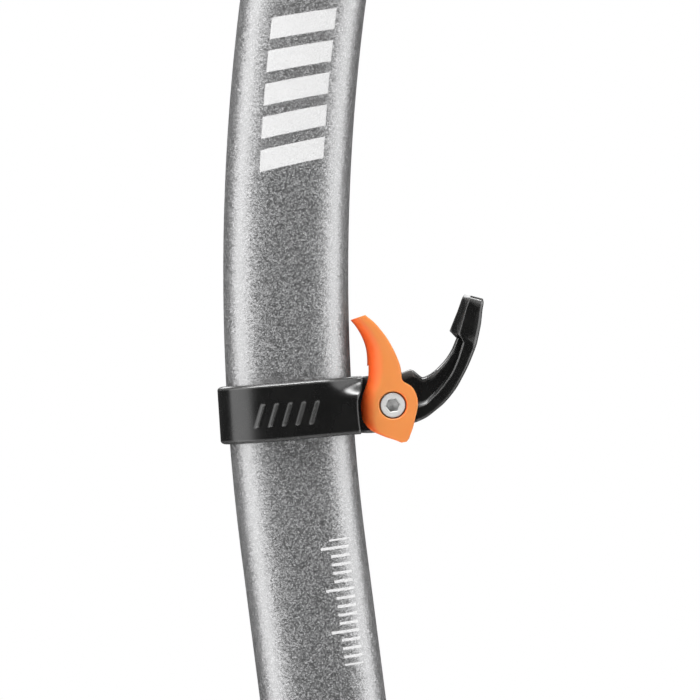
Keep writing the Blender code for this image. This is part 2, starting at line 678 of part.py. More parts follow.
def build_brake_shoe():
    """Plunger in the lug's channel, between the cam and the shaft."""
    front = SHAFT_HALF_DEPTH + GAP
    back = PIVOT_X - CAM_OFFSET * math.cos(CAM_ANGLE) - CAM_RADIUS - GAP
    low = (front, -SHOE_HALF_WIDTH, PIVOT_Z - SHOE_HALF_HEIGHT)
    high = (back, SHOE_HALF_WIDTH, PIVOT_Z + SHOE_HALF_HEIGHT)
    shoe = add_object("brake_shoe", box("brake_shoe", low, high), BLACK_LOOK, REST)
    round_edges(shoe, 0.0004, 1)


def build_lever_spring():
    """Torsion spring round the sleeve, with a short leg at each end."""
    low, high = SPRING_SPAN
    curve = bpy.data.curves.new("lever_spring", "CURVE")
    curve.dimensions = "3D"
    curve.bevel_depth = SPRING_WIRE_RADIUS
    curve.bevel_resolution = 2
    curve.use_fill_caps = True
    count = int(SPRING_TURNS * 10) + 1
    points = []
    for index in range(count):
        share = index / (count - 1)
        angle = 2 * math.pi * SPRING_TURNS * share
        points.append(Vector((SPRING_RADIUS * math.cos(angle), low + (high - low) * share,
                              SPRING_RADIUS * math.sin(angle))))
    first_leg = points[0] + (points[0] - points[1]).normalized() * 0.0028
    last_leg = points[-1] + (points[-1] - points[-2]).normalized() * 0.0028
    points = [first_leg, *points, last_leg]
    spline = curve.splines.new("POLY")
    spline.points.add(len(points) - 1)
    for target, point in zip(spline.points, points):
        target.co = (*point, 1.0)
    spring = bpy.data.objects.new("lever_spring", curve)
    spring.location = (PIVOT_X, 0.0, PIVOT_Z)
    spring.parent = REST
    curve.materials.append(STEEL_LOOK)
    PARTS.objects.link(spring)


# ---------------------------------------------------------------- assembly

clear_scene()
PARTS = add_collection("ice_axe")
CUTTERS = add_collection("cutters")

SHAFT_LOOK = material("speckled_grey", (0.42, 0.42, 0.43), 0.35, 0.8)
BLACK_LOOK = material("black_plastic", (0.02, 0.02, 0.02), 0.35)
ORANGE_LOOK = material("orange_plastic", (0.95, 0.30, 0.06), 0.45)
RUBBER_LOOK = material("black_rubber", (0.03, 0.03, 0.03), 0.8)
STEEL_LOOK = material("forged_steel", (0.45, 0.45, 0.46), 0.4, 1.0)
BRIGHT_LOOK = material("bright_steel", (0.70, 0.70, 0.70), 0.3, 1.0)

tube_top, head_lean = shaft_station(BEND_LENGTH + TOP_STRAIGHT)
HEAD = empty("head_frame", tube_top, lean=head_lean)
FOOT = empty("foot_frame", (0.0, 0.0, TUBE_FOOT_Z))
bend_centre = (BEND_RADIUS, 0.0, BEND_START_Z)
REST_SLIDE = empty("rest_slide_axis", bend_centre, lean=REST_HEIGHT / BEND_RADIUS)
REST = empty("rest_frame", (-BEND_RADIUS, 0.0, 0.0), REST_SLIDE)
TRIGGER = empty("trigger_axis", (PIVOT_X, 0.0, PIVOT_Z), REST)
bpy.context.view_layer.update()

build_shaft()
build_grip()
build_end_plug()
build_spike()
for rivet_name, rivet_height in SPIKE_RIVET_HEIGHTS.items():
    build_rivet(rivet_name, FOOT, rivet_height)

build_head_body()
for rivet_name, rivet_height in HEAD_RIVET_HEIGHTS.items():
    build_rivet(rivet_name, HEAD, rivet_height)
build_pick()
build_adze()
for place_name, place_x in {**PICK_BOLT_PLACES, **ADZE_BOLT_PLACES}.items():
    build_bolt(place_name, place_x)
    build_nut(place_name, place_x)

build_rest_body()
build_brake_shoe()
build_lever_spring()
build_lever()
build_pivot_screw()
build_pivot_nut()
build_pivot_sleeve()
build_clamp_cam()
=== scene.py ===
"""Looks of the ice axe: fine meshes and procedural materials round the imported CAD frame.

Everything is in metres in the CAD's own frame: +Z runs up the straight lower shaft, +X points
to the pick side and Y is the axe's width. Outlines and stations are written in millimetres.
"""

import json
import math
from contextlib import contextmanager

import bmesh
import bpy
import numpy as np
from mathutils import Matrix, Vector


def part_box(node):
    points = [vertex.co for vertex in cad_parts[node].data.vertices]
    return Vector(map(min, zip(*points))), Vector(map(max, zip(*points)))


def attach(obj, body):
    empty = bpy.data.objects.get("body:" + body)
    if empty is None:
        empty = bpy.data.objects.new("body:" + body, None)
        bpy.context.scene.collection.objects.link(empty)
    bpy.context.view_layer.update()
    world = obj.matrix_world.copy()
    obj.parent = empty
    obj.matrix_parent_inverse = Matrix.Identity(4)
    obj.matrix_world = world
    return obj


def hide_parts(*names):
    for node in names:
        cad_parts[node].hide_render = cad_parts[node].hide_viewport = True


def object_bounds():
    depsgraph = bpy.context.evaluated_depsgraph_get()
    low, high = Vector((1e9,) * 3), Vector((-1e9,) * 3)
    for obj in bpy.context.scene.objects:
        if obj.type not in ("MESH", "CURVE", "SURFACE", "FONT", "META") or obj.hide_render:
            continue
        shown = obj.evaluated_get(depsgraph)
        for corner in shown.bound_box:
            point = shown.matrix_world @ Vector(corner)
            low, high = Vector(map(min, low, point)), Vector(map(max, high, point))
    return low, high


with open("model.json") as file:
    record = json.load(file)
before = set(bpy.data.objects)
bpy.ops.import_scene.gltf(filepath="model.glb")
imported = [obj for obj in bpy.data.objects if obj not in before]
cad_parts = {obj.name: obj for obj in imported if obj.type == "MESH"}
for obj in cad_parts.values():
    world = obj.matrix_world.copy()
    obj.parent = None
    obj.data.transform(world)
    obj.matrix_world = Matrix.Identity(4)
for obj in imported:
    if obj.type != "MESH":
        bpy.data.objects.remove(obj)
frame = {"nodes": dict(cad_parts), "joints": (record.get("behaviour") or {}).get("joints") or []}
CAD_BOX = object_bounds()
SLIDE = next(joint for joint in frame["joints"] if joint["name"] == "rest_slide")

MM = 0.001
GAP = 0.0003  # clearance between neighbouring pieces, as in the CAD

# Shaft: straight, then an arc about the finger rest's slide axis, then straight again
BEND_RADIUS, _, BEND_START_Z = SLIDE["pos_m"]
BEND_LENGTH = 0.19
TOP_STRAIGHT = 0.045
SHAFT_HALF_DEPTH = 0.015
SHAFT_HALF_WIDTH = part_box("shaft_tube")[1].y
SHAFT_WALL = 0.002
# Half sizes of what fits inside the tube, and of a hole that fits round it
STEM_HALVES = (SHAFT_HALF_DEPTH - SHAFT_WALL - GAP, SHAFT_HALF_WIDTH - SHAFT_WALL - GAP)
SLEEVE_HALVES = (SHAFT_HALF_DEPTH + GAP, SHAFT_HALF_WIDTH + GAP)
SECTION_POWER = 2.6  # 2 is an ellipse, higher is squarer
TUBE_FOOT_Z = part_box("shaft_tube")[0].z

# Marks printed on the shaft
PRINT_EDGE = 0.00005
STACK_START = 0.0895
BAR_COUNT = 5
BAR_PITCH = 0.0078
BAR_SLANT = 0.28
BAR_MIDDLE = 0.0009
BAR_HALF_LENGTH = 0.0075
TICK_PITCH = 0.002
SHORT_TICK = 0.0044
LONG_TICK = 0.0066
SCALE_BASE = 0.0108
SCALE_MIDDLE = -0.014
SCALE_HALF_LENGTH = 0.0151

# Hand grip and spike
GRIP_HALF_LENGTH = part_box("grip_sleeve")[1].z
GRIP_THICKNESS = 0.0023
# Extra thickness of the grip at distances up from its foot and down from its top
GRIP_FOOT = {0: 0.003, 0.004: 0.0042, 0.012: 0.003, 0.022: 0}
GRIP_TOP = {0.01: 0, 0.005: 0.0009, 0.0015: 0.0006, 0: -0.0006}
TREAD_START = -GRIP_HALF_LENGTH + 0.026
TREAD_END = GRIP_HALF_LENGTH - 0.014
TREAD_PITCH = 0.0058
TREAD_DEPTH = 0.0007
TREAD_SLANT = 0.45
SPIKE_HALF_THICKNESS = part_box("spike")[1].y
TANG_HALF_WIDTH = 0.008
TANG_LENGTH = 0.034
SPIKE_RIVET_HEIGHTS = {"lower_spike_rivet": 0.01, "upper_spike_rivet": 0.022}
EYE_RADIUS = 0.0065
EYE_DROP = 0.019

# Rivets, bolts and nuts
TURNED_SHARP = 14  # degrees: flats on small turned steel stay flat
RIVET_RADIUS = 0.0025
RIVET_HEAD_RADIUS = 0.0042
RIVET_HEAD_HEIGHT = 0.0012
BOLT_RADIUS = 0.003
BOLT_HEAD_RADIUS = 0.0052
BOLT_RIM_HEIGHT = 0.0005
BOLT_CROWN_HEIGHT = 0.0023
BOLT_SOCKET_RADIUS = 0.0023
BOLT_SOCKET_DEPTH = 0.0019
NUT_RADIUS = 0.0057
NUT_HEIGHT = 0.0045

# Head, in a frame at the top of the tube
HEAD_RIVET_HEIGHTS = {"upper_head_rivet": -0.014, "lower_head_rivet": -0.03}
STEM_LENGTH = 0.042
CHEEK_HALF_THICKNESS = 0.0072
BLADE_HALF_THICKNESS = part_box("pick")[1].y
SLOT_START = 0.008
SLOT_FLOOR = 0.009
CLIP_HOLE_RADIUS = 0.005
CLIP_BOSS_RADIUS = 0.0072
CLIP_BOSS_HALF_THICKNESS = 0.0078
BOLT_HEIGHT = 0.023
BOLT_PLACES = {"rear_pick": 0.014, "front_pick": 0.027, "front_adze": -0.0135,
               "rear_adze": -0.026}
PICK_TEETH = 15
TOOTH_DEPTH = 2.6  # in millimetres, as its lean is
TOOTH_LEAN = 1.5

# Finger rest, in a frame on the shaft's centreline at the middle of the collar
REST_HEIGHT = 0.0327
COLLAR_WALL_X = 0.0018
COLLAR_WALL_Y = 0.00215
PIVOT_X = 0.02456
PIVOT_Z = -0.00033
LEVER_HALF_THICKNESS = 0.0089
FORK_SLOT_HALF_WIDTH = 0.0055
FORK_RADIUS = 0.0111
COUNTERBORE_RADIUS = 0.00325
COUNTERBORE_FLOOR = 0.0067
SCREW_HEAD_RADIUS = 0.00295
SCREW_HEAD_HEIGHT = 0.0018
SCREW_SEAT = COUNTERBORE_FLOOR + GAP / 2
SCREW_FACE_Y = -(SCREW_SEAT + SCREW_HEAD_HEIGHT)
SCREW_SHANK_RADIUS = 0.00125
SOCKET_RADIUS = 0.00167
SOCKET_TURN = math.radians(5)
SLEEVE_RADIUS = 0.00242
SLEEVE_BORE = 0.00155
POCKET_HALF_WIDTH = 0.0039
POCKET_RADIUS = 0.0054
SHOE_HALF_HEIGHT = 0.0039

# Outlines: X, Z and whether the corner is sharp
HEAD_OUTLINE = [
    (-15, 3, True), (-17.5, 10, False), (-30, 14.5, False), (-34, 22.5, False),
    (-30, 31, False), (-10, 36, False), (12, 37, False), (31, 35, False),
    (36, 27, False), (32.5, 16.5, False), (17.5, 10, False), (15, 3, True),
]
SPIKE_SIDE = [
    (8, 34, True), (8, -3.6, True), (13, -5.5, False), (14, -19, False),
    (8.5, -33, False), (1.2, -46, True),
]
PICK_TAIL = [(8.3, 9.4), (8.3, 36)]
PICK_BACK = [(30, 34.6), (62, 33.2), (94, 27.5), (124, 16), (150, -0.5)]
PICK_TIP = (163, -14)
PICK_EDGE_HANDLE = (120, 12)
PICK_EDGE_END = (48, 10)
PICK_THROAT = (36, 9.4)
# Adze stations: X, middle height, half width (Y), half thickness (Z)
ADZE_STATIONS = [
    (-8.3, 22.5, 2, 11), (-35.5, 22.5, 2, 8.5), (-40, 22.7, 3.2, 6.2),
    (-46, 23.2, 7.5, 4), (-53, 23.4, 14.5, 2.6), (-62, 21.6, 21.5, 2),
    (-74, 16.8, 25.5, 1.7), (-86, 9.6, 27, 1), (-90, 6.6, 27, 0.4),
]

# Lug and hook: half thickness at these shares of the way from the inner to the outer edge.
# The shares are for a ridge in the middle; each station shifts them to its own ridge.
HOOK_SHARES = (0, 0.035, 0.09, 0.15, 0.43, 0.48, 0.52, 0.57, 0.91, 0.97, 1)
HOOK_SECTIONS = {
    "lug": (4.6, 4.9, 5, 4.9, 4.8, 5, 5.2, 5.1, 5.1, 4.8, 4.4),
    "neck": (4.6, 5, 5.1, 4.8, 4.6, 5, 5.3, 5.1, 5.1, 4.8, 4.3),
    "wrist": (4.7, 5.2, 5.3, 4.8, 4.6, 5.2, 5.6, 5.35, 5.35, 5, 4.3),
    "arm": (4.9, 5.5, 5.6, 4.9, 4.6, 5.4, 5.9, 5.6, 5.6, 5.2, 4.3),
    "block": (1.8, 2.2, 2.7, 3.3, 5.8, 6.1, 6.1, 6.1, 6.1, 5.8, 5),
    "end": (1.6, 1.9, 2.3, 2.8, 5, 5.3, 5.3, 5.3, 5.3, 5, 4.3),
}
# Section name, share of the way across where the ridge runs, inner and outer edge X, Z
ARM_STATIONS = [
    ("lug", 0.72, 14.8, 6.75, 14.8, -6.35), ("lug", 0.72, 20, 6.95, 20, -6.7),
    ("lug", 0.72, 26.5, 7.1, 26.5, -6), ("lug", 0.72, 29.3, 7.8, 29.4, -4.95),
    ("neck", 0.71, 30.2, 7.45, 30.6, -4.6), ("neck", 0.68, 31.95, 5.9, 32.6, -3.75),
    ("neck", 0.63, 33.2, 6.05, 34.6, -2.4), ("wrist", 0.57, 35.1, 7.05, 37, -0.6),
    ("arm", 0.5, 37.7, 9.35, 39.8, 2.4), ("arm", 0.42, 39.5, 11.7, 41.9, 5.6),
    ("arm", 0.36, 40.3, 13.2, 43.4, 8.2), ("arm", 0.31, 41, 14.65, 44.9, 11.3),
]
BLOCK_STATIONS = [
    ("block", 0.34, 39.4, 16.45, 45.6, 13), ("block", 0.32, 40.6, 19, 46.8, 17.4),
    ("block", 0.32, 41.7, 21.3, 47.4, 20.8), ("block", 0.32, 42.9, 24.1, 47.8, 22.6),
    ("end", 0.32, 43.6, 24.95, 47.7, 23.6),
]
# Lever: left edge X, Z, right edge X, Z, and how far in the left side's rounding reaches
LEVER_STATIONS = [
    (15.85, 20.55, 19.4, 21.5, 2.6), (17, 18.95, 21.6, 19.4, 3.2),
    (18.2, 16.6, 23.9, 16.2, 3.8), (19, 14, 25.4, 13.3, 4.2),
    (19.2, 11.5, 26.3, 11, 4.4), (19.1, 9.3, 26.9, 9, 4.4),
    (18.9, 7, 27.1, 7.2, 4.4), (18.3, 4.9, 27.3, 5.3, 4.4),
    (17.3, 2.6, 29.5, 3.6, 4.4), (16.75, 0.4, 30.5, 1, 4.3),
    (16.7, -1.4, 30.4, -1.3, 4.2), (17.2, -3.6, 29.7, -3.7, 3.4),
    (18.9, -5.9, 29, -6, 2), (21.9, -7.6, 28.3, -7.6, 1),
    (24.4, -8.6, 27.9, -8.5, 0.7), (26, -9.35, 27.3, -9.2, 0.4),
]
LEVER_FULL_REACH = 4.4  # with this reach the left edge is at its thinnest
LEVER_LEFT_HALF_THICKNESS = 3.4
LEVER_RIGHT_ROUNDING = 0.45
# Collar, in millimetres: its broad sides run on past the oval and end at the lever's fork
COLLAR_LOW = -7.2
COLLAR_HIGH = 6.6
COLLAR_HALF_WIDTH = 13.2
COLLAR_END_HALF_WIDTH = 12.4
COLLAR_CORNER = 0.6
EDGE_DROP = 0.9  # rounding of the collar's rims, up and down
EDGE_INSET = 1.2  # and inwards
COLLAR_END_X = 16.4  # where the broad sides end, at their narrowest height
COLLAR_MIDDLE = -1.2
SCOOP_DEPTH = 3.6  # how far the upper corners by the lug are drawn in
SCOOP_X = (8, 18.5)  # the drawing-in starts and is whole at these places
SCOOP_Z = (1.6, 6.2)
RIB_PLACES = (-6.6, -3.4, -0.2, 3, 6.2)
RIB_HEIGHT = 0.22
RIB_SLANT = 0.35
RIB_MIDDLE = -0.85
RIB_HALF_LENGTH = 2.95


# ---- frames

def lean_frame(origin, lean):
    return Matrix.Translation(origin) @ Matrix.Rotation(lean, 4, "Y")


def shaft_station(distance):
    """Place and lean of the centreline at a distance along it from the bend's start."""
    along_bend = min(max(distance, 0), BEND_LENGTH)
    lean = along_bend / BEND_RADIUS
    straight = distance - along_bend
    x = BEND_RADIUS * (1 - math.cos(lean)) + straight * math.sin(lean)
    z = BEND_START_Z + BEND_RADIUS * math.sin(lean) + straight * math.cos(lean)
    return Vector((x, 0, z)), lean


FOOT = Matrix.Translation((0, 0, TUBE_FOOT_Z))
HEAD = lean_frame(*shaft_station(BEND_LENGTH + TOP_STRAIGHT))
REST = lean_frame(*shaft_station(REST_HEIGHT))
TRIGGER = REST @ Matrix.Translation((PIVOT_X, 0, PIVOT_Z))


def add_object(name, data):
    made = bpy.data.objects.new(name, data)
    bpy.context.scene.collection.objects.link(made)
    return made


# ---- materials

class Nodes:
    """Short ways to add nodes to a node tree."""

    def __init__(self, tree):
        self.tree = tree

    def add(self, kind):
        return self.tree.nodes.new(kind)

    def feed(self, socket, value):
        """Link an output to a socket, or set the socket's own value."""
        if isinstance(value, bpy.types.NodeSocket):
            self.tree.links.new(value, socket)
        else:
            socket.default_value = value

    def operate(self, kind, output, operation, values):
        node = self.add(kind)
        node.operation = operation
        for socket, value in zip(node.inputs, values):
            self.feed(socket, value)
        return node.outputs[output]

    def math(self, operation, *values):
        return self.operate("ShaderNodeMath", "Value", operation, values)

    def vector(self, operation, *values):
        return self.operate("ShaderNodeVectorMath", "Vector", operation, values)

    def axes(self, vector):
        """X, Y and Z of a vector."""
        node = self.add("ShaderNodeSeparateXYZ")
        self.feed(node.inputs["Vector"], vector)
        return node.outputs

    def span(self, value, start, end, low=0, high=1):
        """Value carried from one range to another and held at its ends."""
        node = self.add("ShaderNodeMapRange")
        for name, given in zip(("Value", "From Min", "From Max", "To Min", "To Max"),
                               (value, start, end, low, high)):
            self.feed(node.inputs[name], given)
        return node.outputs["Result"]

    def mix(self, factor, first, second):
        node = self.add("ShaderNodeMix")
        node.data_type = "RGBA"
        colours = [socket for socket in node.inputs if socket.type == "RGBA"]
        self.feed(node.inputs["Factor"], factor)
        for socket, colour in zip(colours, (first, second)):
            is_plain = isinstance(colour, tuple)
            self.feed(socket, (*colour, 1) if is_plain else colour)
        return next(socket for socket in node.outputs if socket.type == "RGBA")


class Look(Nodes):
    """A procedural material: its shader and short ways to add texture to it."""

    def __init__(self, name):
        self.material = bpy.data.materials.new(name)
        self.material.use_nodes = True
        super().__init__(self.material.node_tree)
        self.shader = self.tree.nodes["Principled BSDF"]
        self.place = self.add("ShaderNodeTexCoord").outputs["Object"]

    def give(self, name, value):
        self.feed(self.shader.inputs[name], value)

    def noise(self, size, detail, stretch=(1, 1, 1)):
        """Smooth random value, 0 to 1, in patches about one size across in metres."""
        mapping = self.add("ShaderNodeMapping")
        mapping.inputs["Scale"].default_value = stretch
        self.feed(mapping.inputs["Vector"], self.place)
        node = self.add("ShaderNodeTexNoise")
        self.feed(node.inputs["Vector"], mapping.outputs["Vector"])
        node.inputs["Scale"].default_value = 1 / size
        node.inputs["Detail"].default_value = detail
        return node.outputs["Fac"]

    def grains(self, size):
        """Random colour that is level inside each small grain."""
        node = self.add("ShaderNodeTexVoronoi")
        self.feed(node.inputs["Vector"], self.place)
        node.inputs["Scale"].default_value = 1 / size
        return node.outputs["Color"]

    def glints(self, size, tilt):
        """Turn each small grain's face a random way, so that grains catch light unevenly."""
        leaning = self.vector("MULTIPLY_ADD", self.grains(size), (2 * tilt,) * 3,
                              (-tilt,) * 3)
        surface = self.add("ShaderNodeNewGeometry").outputs["Normal"]
        self.give("Normal", self.vector("NORMALIZE", self.vector("ADD", surface, leaning)))

    def bump(self, height, depth, strength):
        node = self.add("ShaderNodeBump")
        node.inputs["Distance"].default_value = depth
        node.inputs["Strength"].default_value = strength
        self.feed(node.inputs["Height"], height)
        self.give("Normal", node.outputs["Normal"])

    def outward_edges(self, start=0.52, end=0.62):
        """0 on flat and hollow places, rising to 1 along outward edges."""
        geometry = self.add("ShaderNodeNewGeometry")
        return self.span(geometry.outputs["Pointiness"], start, end)


def inside(look, value, middle, half, edge):
    """1 where a value lies within half of its middle, falling to 0 across a soft edge."""
    away = look.math("ABSOLUTE", look.math("SUBTRACT", value, middle))
    return look.span(away, half - edge, half + edge, 1, 0)


def repeat(look, value, start, pitch):
    """0 to 1 over and over, once for each pitch from a start."""
    return look.math("FRACT", look.math("DIVIDE", look.math("SUBTRACT", value, start), pitch))


def shaft_marks(look):
    """Printed marks on the shaft's near side: a stack of slanted bars, and a fine scale below.

    Places are metres across the shaft, and along it from the start of its bend.
    """
    place = look.add("ShaderNodeAttribute")
    place.attribute_name = "shaft_map"
    across, along, side = look.axes(place.outputs["Vector"])

    slanted = look.math("SUBTRACT", along, look.math("MULTIPLY", across, BAR_SLANT))
    bars = inside(look, repeat(look, slanted, STACK_START, BAR_PITCH), 0.5, 0.33, 0.012)
    stack_half = BAR_PITCH * BAR_COUNT / 2
    in_height = inside(look, slanted, STACK_START + stack_half, stack_half - PRINT_EDGE,
                       PRINT_EDGE)
    in_width = inside(look, across, BAR_MIDDLE, BAR_HALF_LENGTH, PRINT_EDGE)
    stack = look.math("MULTIPLY", bars, look.math("MULTIPLY", in_height, in_width))

    ticks = inside(look, repeat(look, along, 0, TICK_PITCH), 0.5, 0.17, 0.03)
    is_long = look.math("GREATER_THAN", repeat(look, along, -0.0001, 5 * TICK_PITCH), 0.8)
    length = look.span(is_long, 0, 1, SHORT_TICK, LONG_TICK)
    from_base = look.math("SUBTRACT", SCALE_BASE, across)
    on_tick = look.math("MULTIPLY", look.math("GREATER_THAN", from_base, 0),
                        look.math("LESS_THAN", from_base, length))
    in_scale = inside(look, along, SCALE_MIDDLE, SCALE_HALF_LENGTH, PRINT_EDGE)
    scale = look.math("MULTIPLY", ticks, look.math("MULTIPLY", in_scale, on_tick))

    near_side = look.math("LESS_THAN", side, 0)
    return look.math("MULTIPLY", near_side, look.math("MAXIMUM", stack, scale))


def shaft_look():
    """Speckled metallic coating, with a few lighter and duller grains, under plain print."""
    look = Look("speckled_coating")
    channels = look.add("ShaderNodeSeparateColor")
    look.feed(channels.inputs["Color"], look.grains(0.00025))
    grain = channels.outputs["Red"]
    speckle = look.math("ADD", look.math("MULTIPLY", grain, 0.85),
                        look.math("MULTIPLY", look.noise(0.0004, 3), 0.2))
    level = look.math("POWER", look.span(speckle, 0.15, 1), 2)
    coating = look.mix(level, (0.39, 0.39, 0.393), (0.57, 0.57, 0.576))
    metal = look.span(level, 0, 1, 0.95, 0.46)
    marks = shaft_marks(look)
    look.give("Base Color", look.mix(marks, coating, (0.56, 0.56, 0.56)))
    look.give("Metallic", look.math("MULTIPLY", look.math("SUBTRACT", 1, marks), metal))
    look.give("Roughness", look.span(grain, 0, 1, 0.34, 0.44))
    look.glints(0.00024, 0.11)
    return look.material


def rubber_look():
    """Dull black rubber with dusty patches and a fine tooth."""
    look = Look("grip_rubber")
    patches = look.noise(0.012, 4)
    look.give("Base Color", look.mix(patches, (0.014, 0.014, 0.015), (0.034, 0.034, 0.035)))
    look.give("Roughness", look.span(patches, 0.3, 0.7, 0.62, 0.85))
    look.bump(look.noise(0.0004, 3), 0.00004, 0.6)
    return look.material


def black_plastic_look(name, low, high, roughness):
    """Moulded black plastic: faint patches, a fine texture, and greyer edges, partly wear and
    partly a painted highlight.
    """
    look = Look(name)
    patches = look.noise(0.006, 3)
    # Greyer outward edges: partly wear, partly a painted highlight along the rims
    wear_and_painted_highlight = look.outward_edges(0.508, 0.526)
    moulded = look.mix(patches, low, high)
    look.give("Base Color", look.mix(wear_and_painted_highlight, moulded, (0.075, 0.075, 0.074)))
    look.give("Roughness", look.span(patches, 0.3, 0.7, roughness - 0.03, roughness + 0.05))
    look.bump(look.noise(0.0006, 2), 0.000012, 0.35)
    look.give("Specular IOR Level", 0.85)
    return look.material


def lever_look():
    """Orange plastic that light enters a little, with painted shade: redder where it turns in to
    the shaft.
    """
    look = Look("lever_plastic")
    patches = look.noise(0.008, 3)
    body = look.mix(patches, (0.575, 0.195, 0.048), (0.625, 0.219, 0.058))
    # Painted shade: faces that turn in to the shaft get a deeper red colour, standing in for
    # their shade
    facing = look.axes(look.add("ShaderNodeTexCoord").outputs["Normal"])
    painted_inner_shade = look.span(look.math("MULTIPLY", facing["X"], -1), 0.12, 0.9)
    look.give("Base Color", look.mix(painted_inner_shade, body, (0.9, 0.105, 0.014)))
    look.give("Specular IOR Level", 0.3)
    look.give("Roughness", look.span(patches, 0.3, 0.7, 0.36, 0.46))
    look.give("Subsurface Weight", 0.2)
    look.give("Subsurface Radius", (0.0035, 0.0009, 0.0003))
    look.give("Subsurface Scale", 1)
    look.bump(look.noise(0.0005, 2), 0.00001, 0.4)
    return look.material


def steel_look(name, dark, light, roughness, grain_size, grain_depth, stretch=(1, 1, 1),
               metallic=1):
    """Bare or plated steel: cloudy tone, fine grain, and brighter worn edges."""
    look = Look(name)
    look.give("Metallic", metallic)
    cloud = look.noise(0.01, 4)
    grain = look.noise(grain_size, 3, stretch)
    tone = look.mix(look.span(cloud, 0.3, 0.7), dark, light)
    grained = look.mix(look.span(grain, 0.35, 0.65, 0, 0.35), tone, dark)
    worn = tuple(min(channel * 1.25, 0.95) for channel in light)
    look.give("Base Color", look.mix(look.outward_edges(), grained, worn))
    look.give("Roughness", look.span(grain, 0.3, 0.7, roughness - 0.06, roughness + 0.08))
    look.bump(grain, grain_depth, 0.6)
    return look.material


def screw_look():
    """Satin screw with painted shade: below the head's face, in its socket, it is darker than
    its rim.
    """
    look = Look("screw_steel")
    look.give("Metallic", 0.35)
    grain = look.noise(0.00025, 3)
    satin = look.mix(grain, (0.56, 0.56, 0.55), (0.7, 0.7, 0.69))
    depth = look.axes(look.place)["Y"]
    # Painted shade: below the head's face, the socket included, the colour is darker
    below = look.span(depth, SCREW_FACE_Y + 0.00002, SCREW_FACE_Y + 0.0002)
    look.give("Base Color", look.mix(below, satin, (0.5, 0.5, 0.495)))
    look.give("Roughness", look.span(grain, 0.3, 0.7, 0.36, 0.48))
    look.bump(grain, 0.000006, 0.6)
    return look.material


# Finishes: a material and a slot name
COATING = shaft_look(), "shaft_coating"
RUBBER = rubber_look(), "grip_rubber"
PLUG_PLASTIC = black_plastic_look(
    "end_plug_plastic", (0.018, 0.018, 0.018), (0.026, 0.026, 0.026), 0.5), "black_plastic"
REST_PLASTIC = black_plastic_look(
    "rest_plastic", (0.0025, 0.0025, 0.0025), (0.0045, 0.0045, 0.0042), 0.26), "rest_plastic"
LEVER_PLASTIC = lever_look(), "lever_plastic"
SCREW_STEEL = screw_look(), "screw_steel"
NUT_STEEL = steel_look("nut_steel", (0.56, 0.56, 0.55), (0.68, 0.68, 0.67), 0.42, 0.00025,
                       0.000006, metallic=0.5), "screw_steel"
FORGED_STEEL = steel_look("forged_steel", (0.2, 0.2, 0.205), (0.34, 0.34, 0.345), 0.46,
                          0.0007, 0.00004), "forged_steel"
BLADE_STEEL = steel_look("blade_steel", (0.36, 0.36, 0.37), (0.52, 0.52, 0.53), 0.36,
                         0.0005, 0.00001, (1, 1, 0.08)), "blade_steel"
FASTENER_STEEL = steel_look("fastener_steel", (0.42, 0.42, 0.41), (0.6, 0.6, 0.59), 0.34,
                            0.0004, 0.000008), "fastener_steel"


# ---- mesh tools

@contextmanager
def editing(mesh):
    """The mesh as a bmesh with doubled points merged, written back afterwards."""
    shape = bmesh.new()
    shape.from_mesh(mesh)
    bmesh.ops.remove_doubles(shape, verts=shape.verts, dist=0.000001)
    yield shape
    shape.to_mesh(mesh)
    shape.free()


def outward(mesh):
    with editing(mesh) as shape:
        bmesh.ops.recalc_face_normals(shape, faces=shape.faces)
    return mesh


def skin(name, rings, closed=False, ladder=False):
    """Skin through rings of points: a tube when closed, and otherwise capped at its ends.

    A ladder cap joins the first half of a ring to its second half, rung by rung.
    """
    rings = np.asarray(rings, float)
    rows, count = rings.shape[:2]
    faces = []
    for row in range(rows if closed else rows - 1):
        low = row * count
        high = (row + 1) % rows * count
        for index in range(count):
            after = (index + 1) % count
            faces.append((low + index, low + after, high + after, high + index))
    for start in () if closed else (0, (rows - 1) * count):
        if ladder:
            last = start + count - 1
            faces += [(start + rung, start + rung + 1, last - rung - 1, last - rung)
                      for rung in range(count // 2 - 1)]
        else:
            faces.append(tuple(range(start, start + count)))
    mesh = bpy.data.meshes.new(name)
    mesh.from_pydata(rings.reshape(-1, 3).tolist(), [], faces)
    return outward(mesh)


def smooth_rows(rows, steps):
    """The rows with more between them, on a Catmull-Rom curve through all of them."""
    rows = np.array(rows, float)
    padded = np.vstack([2 * rows[0] - rows[1], rows, 2 * rows[-1] - rows[-2]])
    made = []
    for before, start, end, after in zip(padded, padded[1:], padded[2:], padded[3:]):
        for step in range(steps):
            share = step / steps
            made.append(0.5 * (2 * start + (end - before) * share
                               + (2 * before - 5 * start + 4 * end - after) * share ** 2
                               + (3 * start - before - 3 * end + after) * share ** 3))
    made.append(rows[-1])
    return np.array(made)


def oval(half_x, half_y, count):
    """Evenly spaced points of the shaft's rounded oval section, from +X round by +Y."""
    angles = np.linspace(0, 2 * math.pi, 4001)
    around = np.column_stack([np.cos(angles), np.sin(angles)])
    points = (half_x, half_y) * np.sign(around) * np.abs(around) ** (2 / SECTION_POWER)
    steps = np.hypot(*np.diff(points, axis=0).T)
    travelled = np.concatenate([[0], np.cumsum(steps)])
    wanted = np.linspace(0, travelled[-1], count, endpoint=False)
    return np.column_stack([np.interp(wanted, travelled, axis) for axis in points.T])


def quarter_round(rise, inset, count):
    """Rows round a corner: how far up, from 0, and how far still in, down to 0."""
    return [(rise * (1 - math.cos(turn)), inset * (1 - math.sin(turn)))
            for turn in np.radians(np.linspace(0, 90, count))]


def chamfered(radius, start, end, lip, drop):
    """Profile of a disc or, with a lip below 0, of a hole with opened rims."""
    return [(radius - lip, start), (radius, start + drop), (radius, end - drop),
            (radius - lip, end)]


